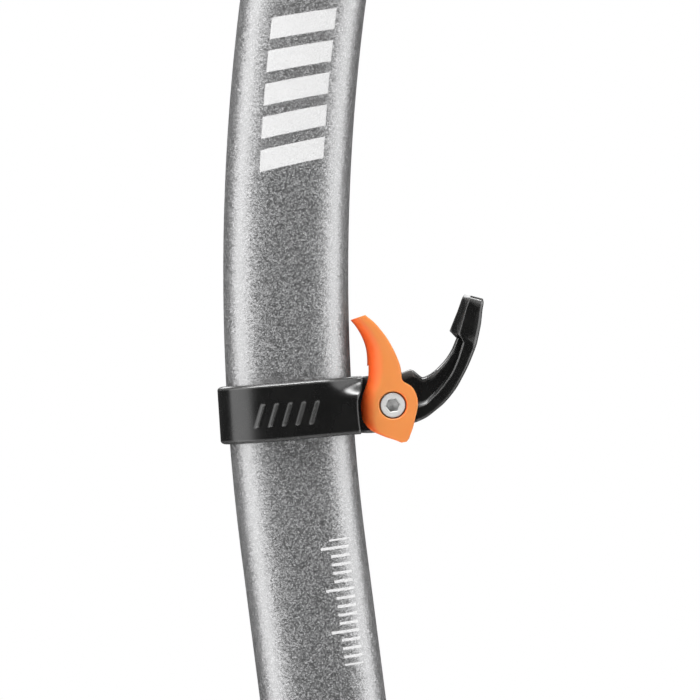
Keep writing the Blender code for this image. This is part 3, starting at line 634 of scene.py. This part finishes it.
def outward_normals(points):
    """Unit normals that point out of a closed ring of plan points."""
    tangent = np.roll(points, -1, axis=0) - np.roll(points, 1, axis=0)
    normal = np.column_stack([tangent[:, 1], -tangent[:, 0]])
    return normal / np.linalg.norm(normal, axis=1)[:, None]


def level_ring(points, z):
    return np.column_stack([points, np.full(len(points), z)])


def level_oval(half_x, half_y, z, count=96):
    return level_ring(oval(half_x, half_y, count), z)


def turned(name, profile, steps=48, centre=(0, 0), turn=0, closed=False):
    """Solid turned about a line along Y at a centre (X, Z), from rows of radius and Y."""
    angles = [turn + 2 * math.pi * step / steps for step in range(steps)]
    rings = [[(centre[0] + radius * math.cos(angle), y, centre[1] + radius * math.sin(angle))
              for angle in angles] for radius, y in profile]
    return skin(name, rings, closed)


def bar(radius, start, end, steps, centre=(0, 0)):
    """Plain round or polygonal bar along Y, used as a cutter."""
    return turned("bar", [(radius, start), (radius, end)], steps, centre)


def box(low, high):
    """Upright box between two opposite corners, used as a cutter."""
    (x0, y0, z0), (x1, y1, z1) = low, high
    return skin("box", [[(x0, y0, z), (x1, y0, z), (x1, y1, z), (x0, y1, z)]
                        for z in (z0, z1)])


def modified(mesh, change):
    """Mesh of a passing object after a function has given it modifiers."""
    holder = add_object("holder", mesh)
    change(holder)
    evaluated = holder.evaluated_get(bpy.context.evaluated_depsgraph_get())
    result = bpy.data.meshes.new_from_object(evaluated)
    bpy.data.objects.remove(holder)
    return result


def combined(mesh, other, operation):
    """Result of one Boolean between two closed meshes."""
    tool = add_object("tool", other)

    def change(holder):
        boolean = holder.modifiers.new("Boolean", "BOOLEAN")
        boolean.operation = operation
        boolean.object = tool
        boolean.solver = "EXACT"

    result = modified(mesh, change)
    bpy.data.objects.remove(tool)
    return result


def cut(mesh, *tools):
    for tool in tools:
        mesh = combined(mesh, tool, "DIFFERENCE")
    return mesh


def join(mesh, *others):
    for other in others:
        mesh = combined(mesh, other, "UNION")
    return mesh


def rounded(mesh, width, segments=3, angle=40):
    """The mesh with its sharp edges rounded."""
    def change(holder):
        bevel = holder.modifiers.new("Bevel", "BEVEL")
        bevel.width = width
        bevel.segments = segments
        bevel.limit_method = "ANGLE"
        bevel.angle_limit = math.radians(angle)

    return modified(mesh, change)


def plate(corners, half_thickness, resolution=16):
    """Flat plate in the XZ plane, centred on Y = 0, from an outline in millimetres."""
    curve = bpy.data.curves.new("outline", "CURVE")
    curve.dimensions = "2D"
    curve.fill_mode = "BOTH"
    curve.resolution_u = resolution
    curve.extrude = half_thickness
    spline = curve.splines.new("BEZIER")
    spline.bezier_points.add(len(corners) - 1)
    spline.use_cyclic_u = True
    for point, (x, z, sharp) in zip(spline.bezier_points, corners):
        point.co = (x * MM, z * MM, 0)
        handle = "VECTOR" if sharp else "AUTO"
        point.handle_left_type = handle
        point.handle_right_type = handle
    mesh = modified(curve, lambda holder: None)
    with editing(mesh) as shape:
        bmesh.ops.dissolve_limit(
            shape, angle_limit=math.radians(0.2), verts=shape.verts, edges=shape.edges)
    mesh.transform(Matrix.Rotation(math.pi / 2, 4, "X"))
    return outward(mesh)


def finish(thing, material, slot):
    thing.data.materials.clear()
    thing.data.materials.append(material)


def piece(name, mesh, place, look, body, *nodes, sharp=38):
    """A visible piece, moved from its own frame, that stands for CAD nodes on one body."""
    mesh.transform(place)
    mesh.shade_smooth()
    mesh.set_sharp_from_angle(angle=math.radians(sharp))
    made = add_object(name, mesh)
    even = made.modifiers.new("Even shading", "WEIGHTED_NORMAL")
    even.keep_sharp = True
    finish(made, *look)
    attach(made, body)
    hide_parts(*nodes)
    return made


# ---- shaft, grip and spike

def shaft_rings(distances, half_x, half_y, count=144):
    section = oval(half_x, half_y, count)
    rings = []
    for distance in distances:
        centre, lean = shaft_station(distance)
        across = np.array((math.cos(lean), 0, -math.sin(lean)))
        rings.append(np.array(centre) + np.outer(section[:, 0], across)
                     + np.outer(section[:, 1], (0, 1, 0)))
    return rings


def map_shaft(mesh, distances, count=144):
    """Store each point's place across and along the shaft, and its side, for the marks."""
    section = oval(SHAFT_HALF_DEPTH, SHAFT_HALF_WIDTH, count)
    store = mesh.attributes.new("shaft_map", "FLOAT_VECTOR", "POINT")
    rows = [(x, distance, y) for distance in distances for x, y in section]
    rows += [(x, distance, 1) for distance in distances for x, _ in section]
    store.data.foreach_set("vector", np.array(rows, np.float32).ravel())


def build_shaft():
    """Open tube of rounded oval section, straight, bent and straight again."""
    distances = [TUBE_FOOT_Z - BEND_START_Z, -0.05]
    distances += list(np.linspace(0, BEND_LENGTH, 95))
    distances.append(BEND_LENGTH + TOP_STRAIGHT)
    outer = shaft_rings(distances, SHAFT_HALF_DEPTH, SHAFT_HALF_WIDTH)
    inner = shaft_rings(distances[::-1], SHAFT_HALF_DEPTH - SHAFT_WALL,
                        SHAFT_HALF_WIDTH - SHAFT_WALL)
    mesh = skin("shaft", outer + inner, closed=True)
    map_shaft(mesh, distances)
    piece("shaft", mesh, Matrix.Identity(4), COATING, "axe", "shaft_tube")


def grip_surface(z):
    """Thickness of the grip at a height: flared foot, plain middle and a bead at the top."""
    heights = [-GRIP_HALF_LENGTH + rise for rise in GRIP_FOOT]
    heights += [GRIP_HALF_LENGTH - drop for drop in GRIP_TOP]
    extras = [*GRIP_FOOT.values(), *GRIP_TOP.values()]
    return GRIP_THICKNESS + np.interp(z, heights, extras)


def build_grip():
    """Rubber sleeve with slanted treads moulded into its two broad sides."""
    base = oval(*SLEEVE_HALVES, 240)
    normal = outward_normals(base)
    broad = np.clip((np.abs(normal[:, 1]) - 0.55) / 0.25, 0, 1)
    half = GRIP_HALF_LENGTH
    blur = np.linspace(-0.0015, 0.0015, 9)
    rings = []
    # Treads have flat floors and sloping walls, and fade out at both ends of the grip
    for z in np.linspace(-half, half, 330):
        thickness = np.mean(grip_surface(np.clip(z + blur, -half, half)))
        tread = (z + TREAD_SLANT * np.abs(base[:, 0]) - TREAD_START) / TREAD_PITCH
        groove = np.clip((0.16 - np.abs(tread % 1 - 0.5)) / 0.09, 0, 1)
        ends = np.clip(min(z - TREAD_START, TREAD_END - z) / 0.002, 0, 1)
        depth = TREAD_DEPTH * groove * broad * ends
        rings.append(level_ring(base + normal * (thickness - depth)[:, None], z))
    lip = 0.0006
    flared = base + normal * lip
    rings += [level_ring(flared, half), level_ring(base, half - lip),
              level_ring(base, -half + lip), level_ring(flared, -half)]
    mesh = skin("hand_grip", rings, closed=True)
    piece("hand_grip", mesh, Matrix.Identity(4), RUBBER, "axe", "grip_sleeve")


def build_end_plug():
    """Plug closing the foot of the tube, with a slot for the spike's tang."""
    bottom = -0.0033
    fillet = 0.0012
    rings = [level_oval(SHAFT_HALF_DEPTH - inset, SHAFT_HALF_WIDTH - inset, bottom + rise)
             for rise, inset in quarter_round(fillet, fillet, 7)]
    rings += [level_oval(SHAFT_HALF_DEPTH, SHAFT_HALF_WIDTH, -GAP),
              level_oval(*STEM_HALVES, -GAP), level_oval(*STEM_HALVES, TANG_LENGTH + 0.002)]
    slot_x = TANG_HALF_WIDTH + GAP
    slot_y = SPIKE_HALF_THICKNESS + GAP
    mesh = cut(skin("end_plug", rings), box((-slot_x, -slot_y, -0.01), (slot_x, slot_y, 0.05)))
    piece("end_plug", mesh, FOOT, PLUG_PLASTIC, "axe", "shaft_end_plug")


def bore_cutter(radius, start, end, centre, lip, drop, steps=56):
    """Cutter for a hole along Y whose rims are opened by a lip, down to a drop."""
    clear = 0.002
    profile = [(radius + lip + clear, start - clear),
               *chamfered(radius, start, end, -lip, drop),
               (radius + lip + clear, end + clear)]
    return turned("bore", profile, steps, centre)


def eyelet_cutter(radius, half_thickness, centre, lip=0.0007):
    """Cutter for a hole through a plate, chamfered on both faces."""
    return bore_cutter(radius, -half_thickness, half_thickness, centre, lip, lip)


def build_spike():
    """Flat pointed spike with an eye, and a tang up into the plug."""
    outline = [(-x, z, sharp) for x, z, sharp in SPIKE_SIDE] + SPIKE_SIDE[::-1]
    mesh = rounded(plate(outline, SPIKE_HALF_THICKNESS), 0.0007, 4)
    eye = eyelet_cutter(EYE_RADIUS, SPIKE_HALF_THICKNESS, (0, -EYE_DROP))
    piece("ferrule_spike", cut(mesh, eye), FOOT, FORGED_STEEL, "axe", "spike")


def build_rivet(name, place, height):
    """Rivet right through the shaft, with a low domed head at each side."""
    seat = SHAFT_HALF_WIDTH + GAP
    half = [(RIVET_HEAD_RADIUS * math.sin(angle),
             seat + RIVET_HEAD_HEIGHT * math.cos(angle) ** 0.8)
            for angle in np.radians(np.linspace(10, 90, 9))]
    half.append((RIVET_RADIUS, seat))
    profile = half + [(radius, -y) for radius, y in reversed(half)]
    mesh = turned(name, profile, 48, (0, height))
    piece(name + "_fine", mesh, place, FASTENER_STEEL, "axe", name)


# ---- head

def build_head_body():
    """Forged head: tang in the tube, shoulder on its end, and two slotted cheeks."""
    depth = SHAFT_HALF_DEPTH
    cheek = CHEEK_HALF_THICKNESS
    shoulder = smooth_rows([
        (depth, SHAFT_HALF_WIDTH, GAP),
        (depth + 0.0003, SHAFT_HALF_WIDTH, 0.0045),
        (depth + 0.0012, cheek + 0.0016, 0.0095),
        (depth + 0.0006, cheek + 0.0002, 0.014),
        (depth - 0.0015, cheek - 0.0012, 0.018)], 5)
    rings = [level_oval(*STEM_HALVES, z) for z in (-STEM_LENGTH, GAP)]
    rings += [level_oval(*row) for row in shoulder]
    face = CLIP_BOSS_HALF_THICKNESS
    chamfer = 0.0004
    boss = turned("boss", chamfered(CLIP_BOSS_RADIUS, -face, face, chamfer, chamfer), 72,
                  (0, BOLT_HEIGHT))
    mesh = rounded(plate(HEAD_OUTLINE, cheek), 0.0016, 5)
    mesh = join(mesh, skin("stem", rings), boss)
    slot_y = BLADE_HALF_THICKNESS + GAP
    mesh = cut(mesh, box((SLOT_START, -slot_y, SLOT_FLOOR), (0.06, slot_y, 0.06)),
               box((-0.06, -slot_y, SLOT_FLOOR), (-SLOT_START, slot_y, 0.06)),
               eyelet_cutter(CLIP_HOLE_RADIUS, face, (0, BOLT_HEIGHT), 0.0009))
    piece("forged_head", mesh, HEAD, FORGED_STEEL, "axe", "head_body")


def toothed_edge():
    """Lower edge of the pick, from its tip back to its throat, with sawtooth teeth."""
    start = Vector(PICK_TIP)
    handle = Vector(PICK_EDGE_HANDLE)
    end = Vector(PICK_EDGE_END)

    def on_edge(share):
        return start.lerp(handle, share).lerp(handle.lerp(end, share), share)

    corners = []
    for tooth in range(PICK_TEETH):
        valley = on_edge((tooth + 0.5) / PICK_TEETH)
        peak = on_edge((tooth + 1) / PICK_TEETH)
        corners.append((valley.x - TOOTH_LEAN, valley.y + TOOTH_DEPTH, True))
        corners.append((peak.x, peak.y, True))
    return corners


def build_pick():
    """Drooped blade in the front slot, toothed along its lower edge."""
    corners = [(x, z, True) for x, z in PICK_TAIL]
    corners += [(x, z, False) for x, z in PICK_BACK]
    corners.append((*PICK_TIP, True))
    corners += toothed_edge()
    corners.append((*PICK_THROAT, True))
    mesh = rounded(plate(corners, BLADE_HALF_THICKNESS, 12), 0.00045, 2, 30)
    holes = [eyelet_cutter(BOLT_RADIUS + GAP, BLADE_HALF_THICKNESS, (x, BOLT_HEIGHT), 0.0003)
             for x in BOLT_PLACES.values() if x > 0]
    piece("toothed_pick", cut(mesh, *holes), HEAD, BLADE_STEEL, "axe", "pick")


def build_adze():
    """Upright tang in the rear slot, flaring into a broad blade that droops to its edge."""
    rings = []
    rows = [ADZE_STATIONS[0], *smooth_rows(ADZE_STATIONS[1:], 6)]
    for x, middle, half_width, half_thickness in rows:
        corner = 0.45 * min(half_width, half_thickness)
        ring = []
        for quarter, (side_y, side_z) in enumerate(((1, 1), (-1, 1), (-1, -1), (1, -1))):
            for angle in np.radians(np.linspace(0, 90, 5) + 90 * quarter):
                y = side_y * (half_width - corner) + corner * math.cos(angle)
                z = side_z * (half_thickness - corner) + corner * math.sin(angle)
                ring.append((x, y, middle + z))
        rings.append(ring)
    mesh = skin("broad_adze", np.array(rings) * MM)
    holes = [bar(BOLT_RADIUS + GAP, -0.01, 0.01, 32, (x, BOLT_HEIGHT))
             for x in BOLT_PLACES.values() if x < 0]
    piece("broad_adze", cut(mesh, *holes), HEAD, BLADE_STEEL, "axe", "adze")


def build_bolt(name, x):
    """Button-headed bolt through both cheeks, its head and hexagonal socket on -Y."""
    centre = (x, BOLT_HEIGHT)
    seat = CHEEK_HALF_THICKNESS + GAP
    rim = seat + BOLT_RIM_HEIGHT
    top = rim + BOLT_CROWN_HEIGHT
    tip = seat + NUT_HEIGHT + 0.0008
    chamfer = 0.0006
    crown_start = math.radians(28)
    profile = []
    for angle in np.linspace(crown_start, math.pi / 2, 8):
        share = (math.cos(angle) / math.cos(crown_start)) ** 1.1
        profile.append((BOLT_HEAD_RADIUS * math.sin(angle), -rim - BOLT_CROWN_HEIGHT * share))
    profile += [(BOLT_HEAD_RADIUS, -seat), (BOLT_RADIUS, -seat), (BOLT_RADIUS, tip - chamfer),
                (BOLT_RADIUS - chamfer, tip)]
    mesh = turned(name, profile, 56, centre)
    socket = bar(BOLT_SOCKET_RADIUS, -top - 0.001, -top + BOLT_SOCKET_DEPTH, 6, centre)
    piece(name + "_bolt_fine", cut(mesh, socket), HEAD, FASTENER_STEEL, "axe",
          name + "_bolt", sharp=TURNED_SHARP)


def build_nut(name, x):
    """Hexagonal nut with its corners turned off at both faces."""
    centre = (x, BOLT_HEIGHT)
    start = CHEEK_HALF_THICKNESS + GAP
    end = start + NUT_HEIGHT
    chamfer = 0.0007
    slack = 0.0001
    hexagon = bar(NUT_RADIUS, start, end, 6, centre)
    round_off = turned("round_off", chamfered(NUT_RADIUS + slack, start, end,
                                              chamfer + slack, chamfer), 64, centre)
    mesh = combined(hexagon, round_off, "INTERSECT")
    bore = bore_cutter(BOLT_RADIUS + slack, start, end, centre, 0.0003, 0.0004, 40)
    piece(name + "_nut_fine", cut(mesh, bore), HEAD, FASTENER_STEEL, "axe",
          name + "_nut", sharp=TURNED_SHARP)


# ---- finger rest

def smoothstep(value, start, end):
    share = np.clip((value - start) / (end - start), 0, 1)
    return share * share * (3 - 2 * share)


def collar_relief(u, w):
    """Height of the slanted ribs raised on the collar's near side, at millimetre places."""
    slanted = u - RIB_SLANT * w
    nearest = np.min([np.abs(slanted - middle) for middle in RIB_PLACES], axis=0)
    along = np.abs(w - RIB_MIDDLE)
    return RIB_HEIGHT * (1 - smoothstep(nearest, 0.15, 0.75)) * (
        1 - smoothstep(along, RIB_HALF_LENGTH - 0.35, RIB_HALF_LENGTH))


def collar_quarter(w, count):
    """Outer skin in plan at a height: along the broad side, round a corner, to the lug."""
    end = COLLAR_END_X + 0.01 * (w - COLLAR_MIDDLE) ** 2 + 0.9 * smoothstep(w, 0.5, 4.5)
    corner_start = 0.7
    corner_end = 0.84
    shares = np.linspace(0, 1, count + 1)
    along = np.clip(shares / corner_start, 0, 1)
    turn = np.clip((shares - corner_start) / (corner_end - corner_start), 0, 1) * math.pi / 2
    back = np.clip((shares - corner_end) / (1 - corner_end), 0, 1)
    x = (end - COLLAR_CORNER) * along + COLLAR_CORNER * np.sin(turn)
    narrowing = (COLLAR_HALF_WIDTH - COLLAR_END_HALF_WIDTH) * along ** 2
    y = COLLAR_HALF_WIDTH - narrowing - COLLAR_CORNER * (1 - np.cos(turn))
    scoop = SCOOP_DEPTH * smoothstep(x, *SCOOP_X) * smoothstep(w, *SCOOP_Z)
    return np.column_stack([x, y * (1 - back) * (1 - scoop / COLLAR_END_HALF_WIDTH)])


def collar_skin(w, base, normal):
    """Outer skin at a height, point for point with the oval inside it, in millimetres."""
    quarter = len(base) // 4
    wall = COLLAR_WALL_X + (COLLAR_WALL_Y - COLLAR_WALL_X) * np.abs(normal[:, 1])
    outer = (base + normal * wall[:, None]) / MM
    bow = collar_quarter(w, quarter)
    outer[3 * quarter:] = (bow * (1, -1))[:-1]
    outer[:quarter + 1] = bow[::-1]
    return outer


def collar_band():
    """Band round the shaft, flat along both broad sides as far as the lug."""
    base = oval(*SLEEVE_HALVES, 480)
    normal = outward_normals(base)
    inner = base / MM
    # Both rims rise a little towards the lug
    low = COLLAR_LOW + 0.55 * smoothstep(inner[:, 0], -8, 16)
    high = COLLAR_HIGH + 0.4 * smoothstep(inner[:, 0], -12, 14)
    rim = quarter_round(EDGE_DROP, EDGE_INSET, 9)
    rows = [(high - drop, inset) for drop, inset in rim]
    for share in np.linspace(0, 1, 66)[1:-1]:
        rows.append(((high - EDGE_DROP) * (1 - share) + (low + EDGE_DROP) * share, 0))
    rows += [(low + drop, inset) for drop, inset in reversed(rim)]
    rings = []
    for heights, inset in rows:
        outer = collar_skin(float(np.mean(heights)), base, normal)
        inward = inner - outer
        outer += inward * inset / np.linalg.norm(inward, axis=1)[:, None]
        outer[:, 1] -= np.where(outer[:, 1] < -10, collar_relief(outer[:, 0], heights), 0)
        rings.append(np.column_stack([outer, heights]))
    rings += [np.column_stack([inner, low]), np.column_stack([inner, high])]
    return skin("collar", np.array(rings) * MM, closed=True)


def shifted_share(share, ridge):
    """Share of the way across when the ridge, in the middle by design, runs elsewhere."""
    if share < 0.5:
        return share * ridge / 0.5
    return 1 - (1 - share) * (1 - ridge) / 0.5


def section_rings(stations, steps):
    """Rings of the lug and hook through stations of edges and a named section."""
    rows = [(*station[1:], *HOOK_SECTIONS[station[0]]) for station in stations]
    rings = []
    for row in smooth_rows(rows, steps):
        ridge, inner, outer = row[0], row[1:3], row[3:5]
        near = []
        for share, half in zip(HOOK_SHARES, row[5:]):
            x, z = inner + (outer - inner) * shifted_share(share, ridge)
            near.append((x, -half, z))
        rings.append(near + [(x, -y, z) for x, y, z in reversed(near)])
    return rings


def rest_arm():
    """Lug, hook and the thicker block at the hook's end, as one solid."""
    rings = section_rings(ARM_STATIONS, 6) + section_rings(BLOCK_STATIONS, 5)
    mesh = skin("arm", np.array(rings) * MM, ladder=True)
    return rounded(mesh, 0.00022, 2, 28)


def build_rest():
    """Collar and hook as one moulding, hollow for the shaft, the cam and the brake shoe."""
    space = skin("space", [level_oval(*SLEEVE_HALVES, z, 460) for z in (-0.009, 0.009)])
    wide = POCKET_HALF_WIDTH
    tall = SHOE_HALF_HEIGHT + 0.0004
    pivot = (PIVOT_X, PIVOT_Z)
    mesh = cut(join(collar_band(), rest_arm()), space,
               box((0.014, -wide, PIVOT_Z - tall), (PIVOT_X, wide, PIVOT_Z + tall)),
               bar(POCKET_RADIUS, -wide, wide, 64, pivot),
               bar(SLEEVE_RADIUS + 0.00033, -0.01, 0.01, 40, pivot))
    piece("finger_hook", mesh, REST, REST_PLASTIC, "finger_rest", "rest_body")


def lever_rings():
    """Rings up the lever, each rounded broadly on its left and tightly on its right."""
    half = LEVER_HALF_THICKNESS / MM
    rings = []
    for left_x, left_z, right_x, right_z, reach in smooth_rows(LEVER_STATIONS, 6):
        across = np.array((right_x - left_x, right_z - left_z))
        width = np.linalg.norm(across)
        across /= width
        edge = min(LEVER_RIGHT_ROUNDING, 0.3 * width)
        thinning = (half - LEVER_LEFT_HALF_THICKNESS) * min(reach / LEVER_FULL_REACH, 1)
        sides = [(along, half - inset) for along, inset in quarter_round(reach, thinning, 13)]
        sides += [(width - inset, half - drop) for drop, inset in quarter_round(edge, edge, 6)]
        near = [(left_x + across[0] * along, -y, left_z + across[1] * along)
                for along, y in sides]
        rings.append(near + [(x, -y, z) for x, y, z in reversed(near)])
    return np.array(rings) * MM


def counterbore(side):
    """Cutter for the screw's seat in one cheek, with a chamfered mouth."""
    face = LEVER_HALF_THICKNESS
    lip = 0.00025
    clear = 0.001
    profile = [(COUNTERBORE_RADIUS, COUNTERBORE_FLOOR), (COUNTERBORE_RADIUS, face - lip),
               (COUNTERBORE_RADIUS + lip, face),
               (COUNTERBORE_RADIUS + lip + clear, face + clear)]
    return turned("counterbore", [(radius, side * y) for radius, y in profile], 64)


def build_lever():
    """Finger lever whose lower end is a fork that straddles the lug.

    It is left out of reflections, so that it lays no orange streak on the shaft beside it.
    """
    mesh = skin("lever", lever_rings(), ladder=True)
    mesh.transform(Matrix.Translation((-PIVOT_X, 0, -PIVOT_Z)))
    outside = LEVER_HALF_THICKNESS + 0.001
    mesh = cut(rounded(mesh, 0.0003, 3, 50),
               bar(FORK_RADIUS, -FORK_SLOT_HALF_WIDTH, FORK_SLOT_HALF_WIDTH, 96),
               counterbore(-1), counterbore(1),
               bar(SLEEVE_RADIUS + 0.00035, -outside, outside, 6))
    lever = piece("finger_lever", mesh, TRIGGER, LEVER_PLASTIC, "trigger", "trigger_lever")
    lever.visible_glossy = False


def build_pivot_screw():
    """Cap screw: chamfered head with a deep hexagonal socket, and its shank."""
    top = SCREW_FACE_Y
    rim = SCREW_HEAD_RADIUS
    shank = SCREW_SHANK_RADIUS
    profile = [(rim - 0.00045, top), (rim - 0.0002, top + 0.00006),
               (rim - 0.00005, top + 0.0002), (rim, top + 0.0004), (rim, -SCREW_SEAT),
               (shank, -SCREW_SEAT), (shank, 0.0078), (shank - 0.0002, 0.008)]
    mesh = turned("screw", profile, 72)
    socket = turned("socket", [
        (SOCKET_RADIUS + 0.001, top - 0.0008), (SOCKET_RADIUS, top + 0.0002),
        (SOCKET_RADIUS, top + 0.0013)], 6, turn=SOCKET_TURN)
    drill = turned("drill", [(0.0012, top + 0.001), (0.0012, top + 0.0013),
                             (0.0001, top + 0.0017)], 32)
    piece("lever_screw", cut(mesh, socket, drill), TRIGGER, SCREW_STEEL, "trigger",
          "pivot_screw", sharp=TURNED_SHARP)


def build_pivot_nut():
    """Round nut on the far side, with a cross slot and a bore round the screw's end."""
    end = SCREW_SEAT + SCREW_HEAD_HEIGHT
    rim = SCREW_HEAD_RADIUS
    profile = [(SLEEVE_BORE, SCREW_SEAT), (rim, SCREW_SEAT), (rim, end - 0.0004),
               (rim - 0.0002, end - 0.0001), (rim - 0.0005, end),
               (SLEEVE_BORE + 0.0001, end), (SLEEVE_BORE, end - 0.0001)]
    mesh = turned("nut", profile, 72, closed=True)
    half_slot = 0.0004
    floor = end - 0.0006
    out = end + 0.001
    slots = [box((-half_x, floor, -half_z), (half_x, out, half_z))
             for half_x, half_z in ((0.004, half_slot), (half_slot, 0.004))]
    piece("lever_nut", cut(mesh, *slots), TRIGGER, NUT_STEEL, "trigger", "pivot_nut",
          sharp=TURNED_SHARP)


def dress_hidden_nodes():
    """CAD nodes that stay as they are, inside the lug: each gets its own finish."""
    for name in ("pivot_sleeve", "clamp_cam", "lever_spring"):
        finish(frame["nodes"][name], *FASTENER_STEEL)
    finish(frame["nodes"]["brake_shoe"], *REST_PLASTIC)


# ---- studio

CAMERA_LEAN = math.radians(7.329)  # the photograph is turned this far from the shaft
VIEW_CENTRE = Vector((0.0171, 0, 0.1631))
VIEW_WIDTH = 0.16795
LENS = 200
SENSOR = 36
FLOOR_RADIUS = 2.05
ROOM_GREY = 0.065
BELOW_GREY = 0.5
# Azimuth, elevation, distance, width, height and power
SOFTBOXES = {
    "left_softbox": (-63, 4, 1.25, 1.15, 2.2, 15.5),
    "right_softbox": (71, 4, 1.25, 1.2, 2.2, 15.5),
    "top_softbox": (0, 74, 1.3, 1.4, 0.4, 32),
    "back_softbox": (180, 35, 1.6, 1.6, 0.7, 16),
}


def build_camera():
    data = bpy.data.cameras.new("camera")
    data.lens = LENS
    data.sensor_width = SENSOR
    data.clip_start = 0.05
    data.clip_end = 50
    camera = add_object("camera", data)
    distance = VIEW_WIDTH * LENS / SENSOR
    camera.location = VIEW_CENTRE + Vector((0, -distance, 0))
    upright = Matrix.Rotation(math.pi / 2, 3, "X")
    camera.rotation_euler = (Matrix.Rotation(CAMERA_LEAN, 3, "Y") @ upright).to_euler()
    bpy.context.scene.camera = camera


def softbox(name, azimuth, elevation, distance, width, height, power):
    """Rectangular light aimed at the finger rest; azimuth 0 is the camera's side."""
    data = bpy.data.lights.new(name, "AREA")
    data.shape = "RECTANGLE"
    data.size = width
    data.size_y = height
    data.energy = power
    lamp = add_object(name, data)
    turn = math.radians(azimuth)
    rise = math.radians(elevation)
    away = distance * Vector((math.sin(turn) * math.cos(rise),
                              -math.cos(turn) * math.cos(rise), math.sin(rise)))
    lamp.location = VIEW_CENTRE + away
    lamp.rotation_euler = (-away).to_track_quat("-Z", "Y").to_euler()
    lamp.visible_camera = False


def build_world():
    """White behind the object as the camera sees it, and a dim grey room round it.

    What the room sends up from straight below is brighter, as from a pale floor.
    """
    world = bpy.data.worlds.new("studio")
    world.use_nodes = True
    nodes = Nodes(world.node_tree)
    direction = nodes.axes(nodes.add("ShaderNodeTexCoord").outputs["Generated"])
    room = nodes.span(direction["Z"], -0.6, -1, ROOM_GREY, BELOW_GREY)
    seen = nodes.add("ShaderNodeLightPath").outputs["Is Camera Ray"]
    background = nodes.tree.nodes["Background"]
    nodes.feed(background.inputs["Color"], (1, 1, 1, 1))
    nodes.feed(background.inputs["Strength"], nodes.span(seen, 0, 1, room, 1))
    bpy.context.scene.world = world


def build_floor():
    """Pale floor just under the spike's point, fading into the white behind at its rim.

    It is left out of reflections, where its glow would show in the plastic and the metal.
    """
    look = Look("pale_floor")
    distance = look.operate("ShaderNodeVectorMath", "Value", "LENGTH", (look.place,))
    far = look.span(distance, 0.35 * FLOOR_RADIUS, 0.97 * FLOOR_RADIUS)
    look.give("Base Color", look.mix(far, (0.85, 0.85, 0.85), (0, 0, 0)))
    look.give("Roughness", 0.8)
    look.give("Specular IOR Level", look.span(far, 0, 1, 0.5, 0))
    look.give("Emission Color", (1, 1, 1, 1))
    look.give("Emission Strength", look.span(far, 0, 1, 0.55, 1))
    mesh = bpy.data.meshes.new("floor")
    with editing(mesh) as shape:
        bmesh.ops.create_circle(shape, cap_ends=True, segments=128, radius=FLOOR_RADIUS)
    mesh.materials.append(look.material)
    floor = add_object("floor", mesh)
    floor.location.z = CAD_BOX[0].z - 0.0005
    floor.visible_glossy = False


def build_studio():
    build_camera()
    build_world()
    build_floor()
    for name, setting in SOFTBOXES.items():
        softbox(name, *setting)
    bpy.context.scene.view_settings.view_transform = "Standard"


# ---- assembly

build_studio()

build_shaft()
build_grip()
build_end_plug()
build_spike()
for rivet_name, rivet_height in SPIKE_RIVET_HEIGHTS.items():
    build_rivet(rivet_name, FOOT, rivet_height)

build_head_body()
for rivet_name, rivet_height in HEAD_RIVET_HEIGHTS.items():
    build_rivet(rivet_name, HEAD, rivet_height)
build_pick()
build_adze()
for place_name, place_x in BOLT_PLACES.items():
    build_bolt(place_name, place_x)
    build_nut(place_name, place_x)

build_rest()
build_lever()
build_pivot_screw()
build_pivot_nut()
dress_hidden_nodes()
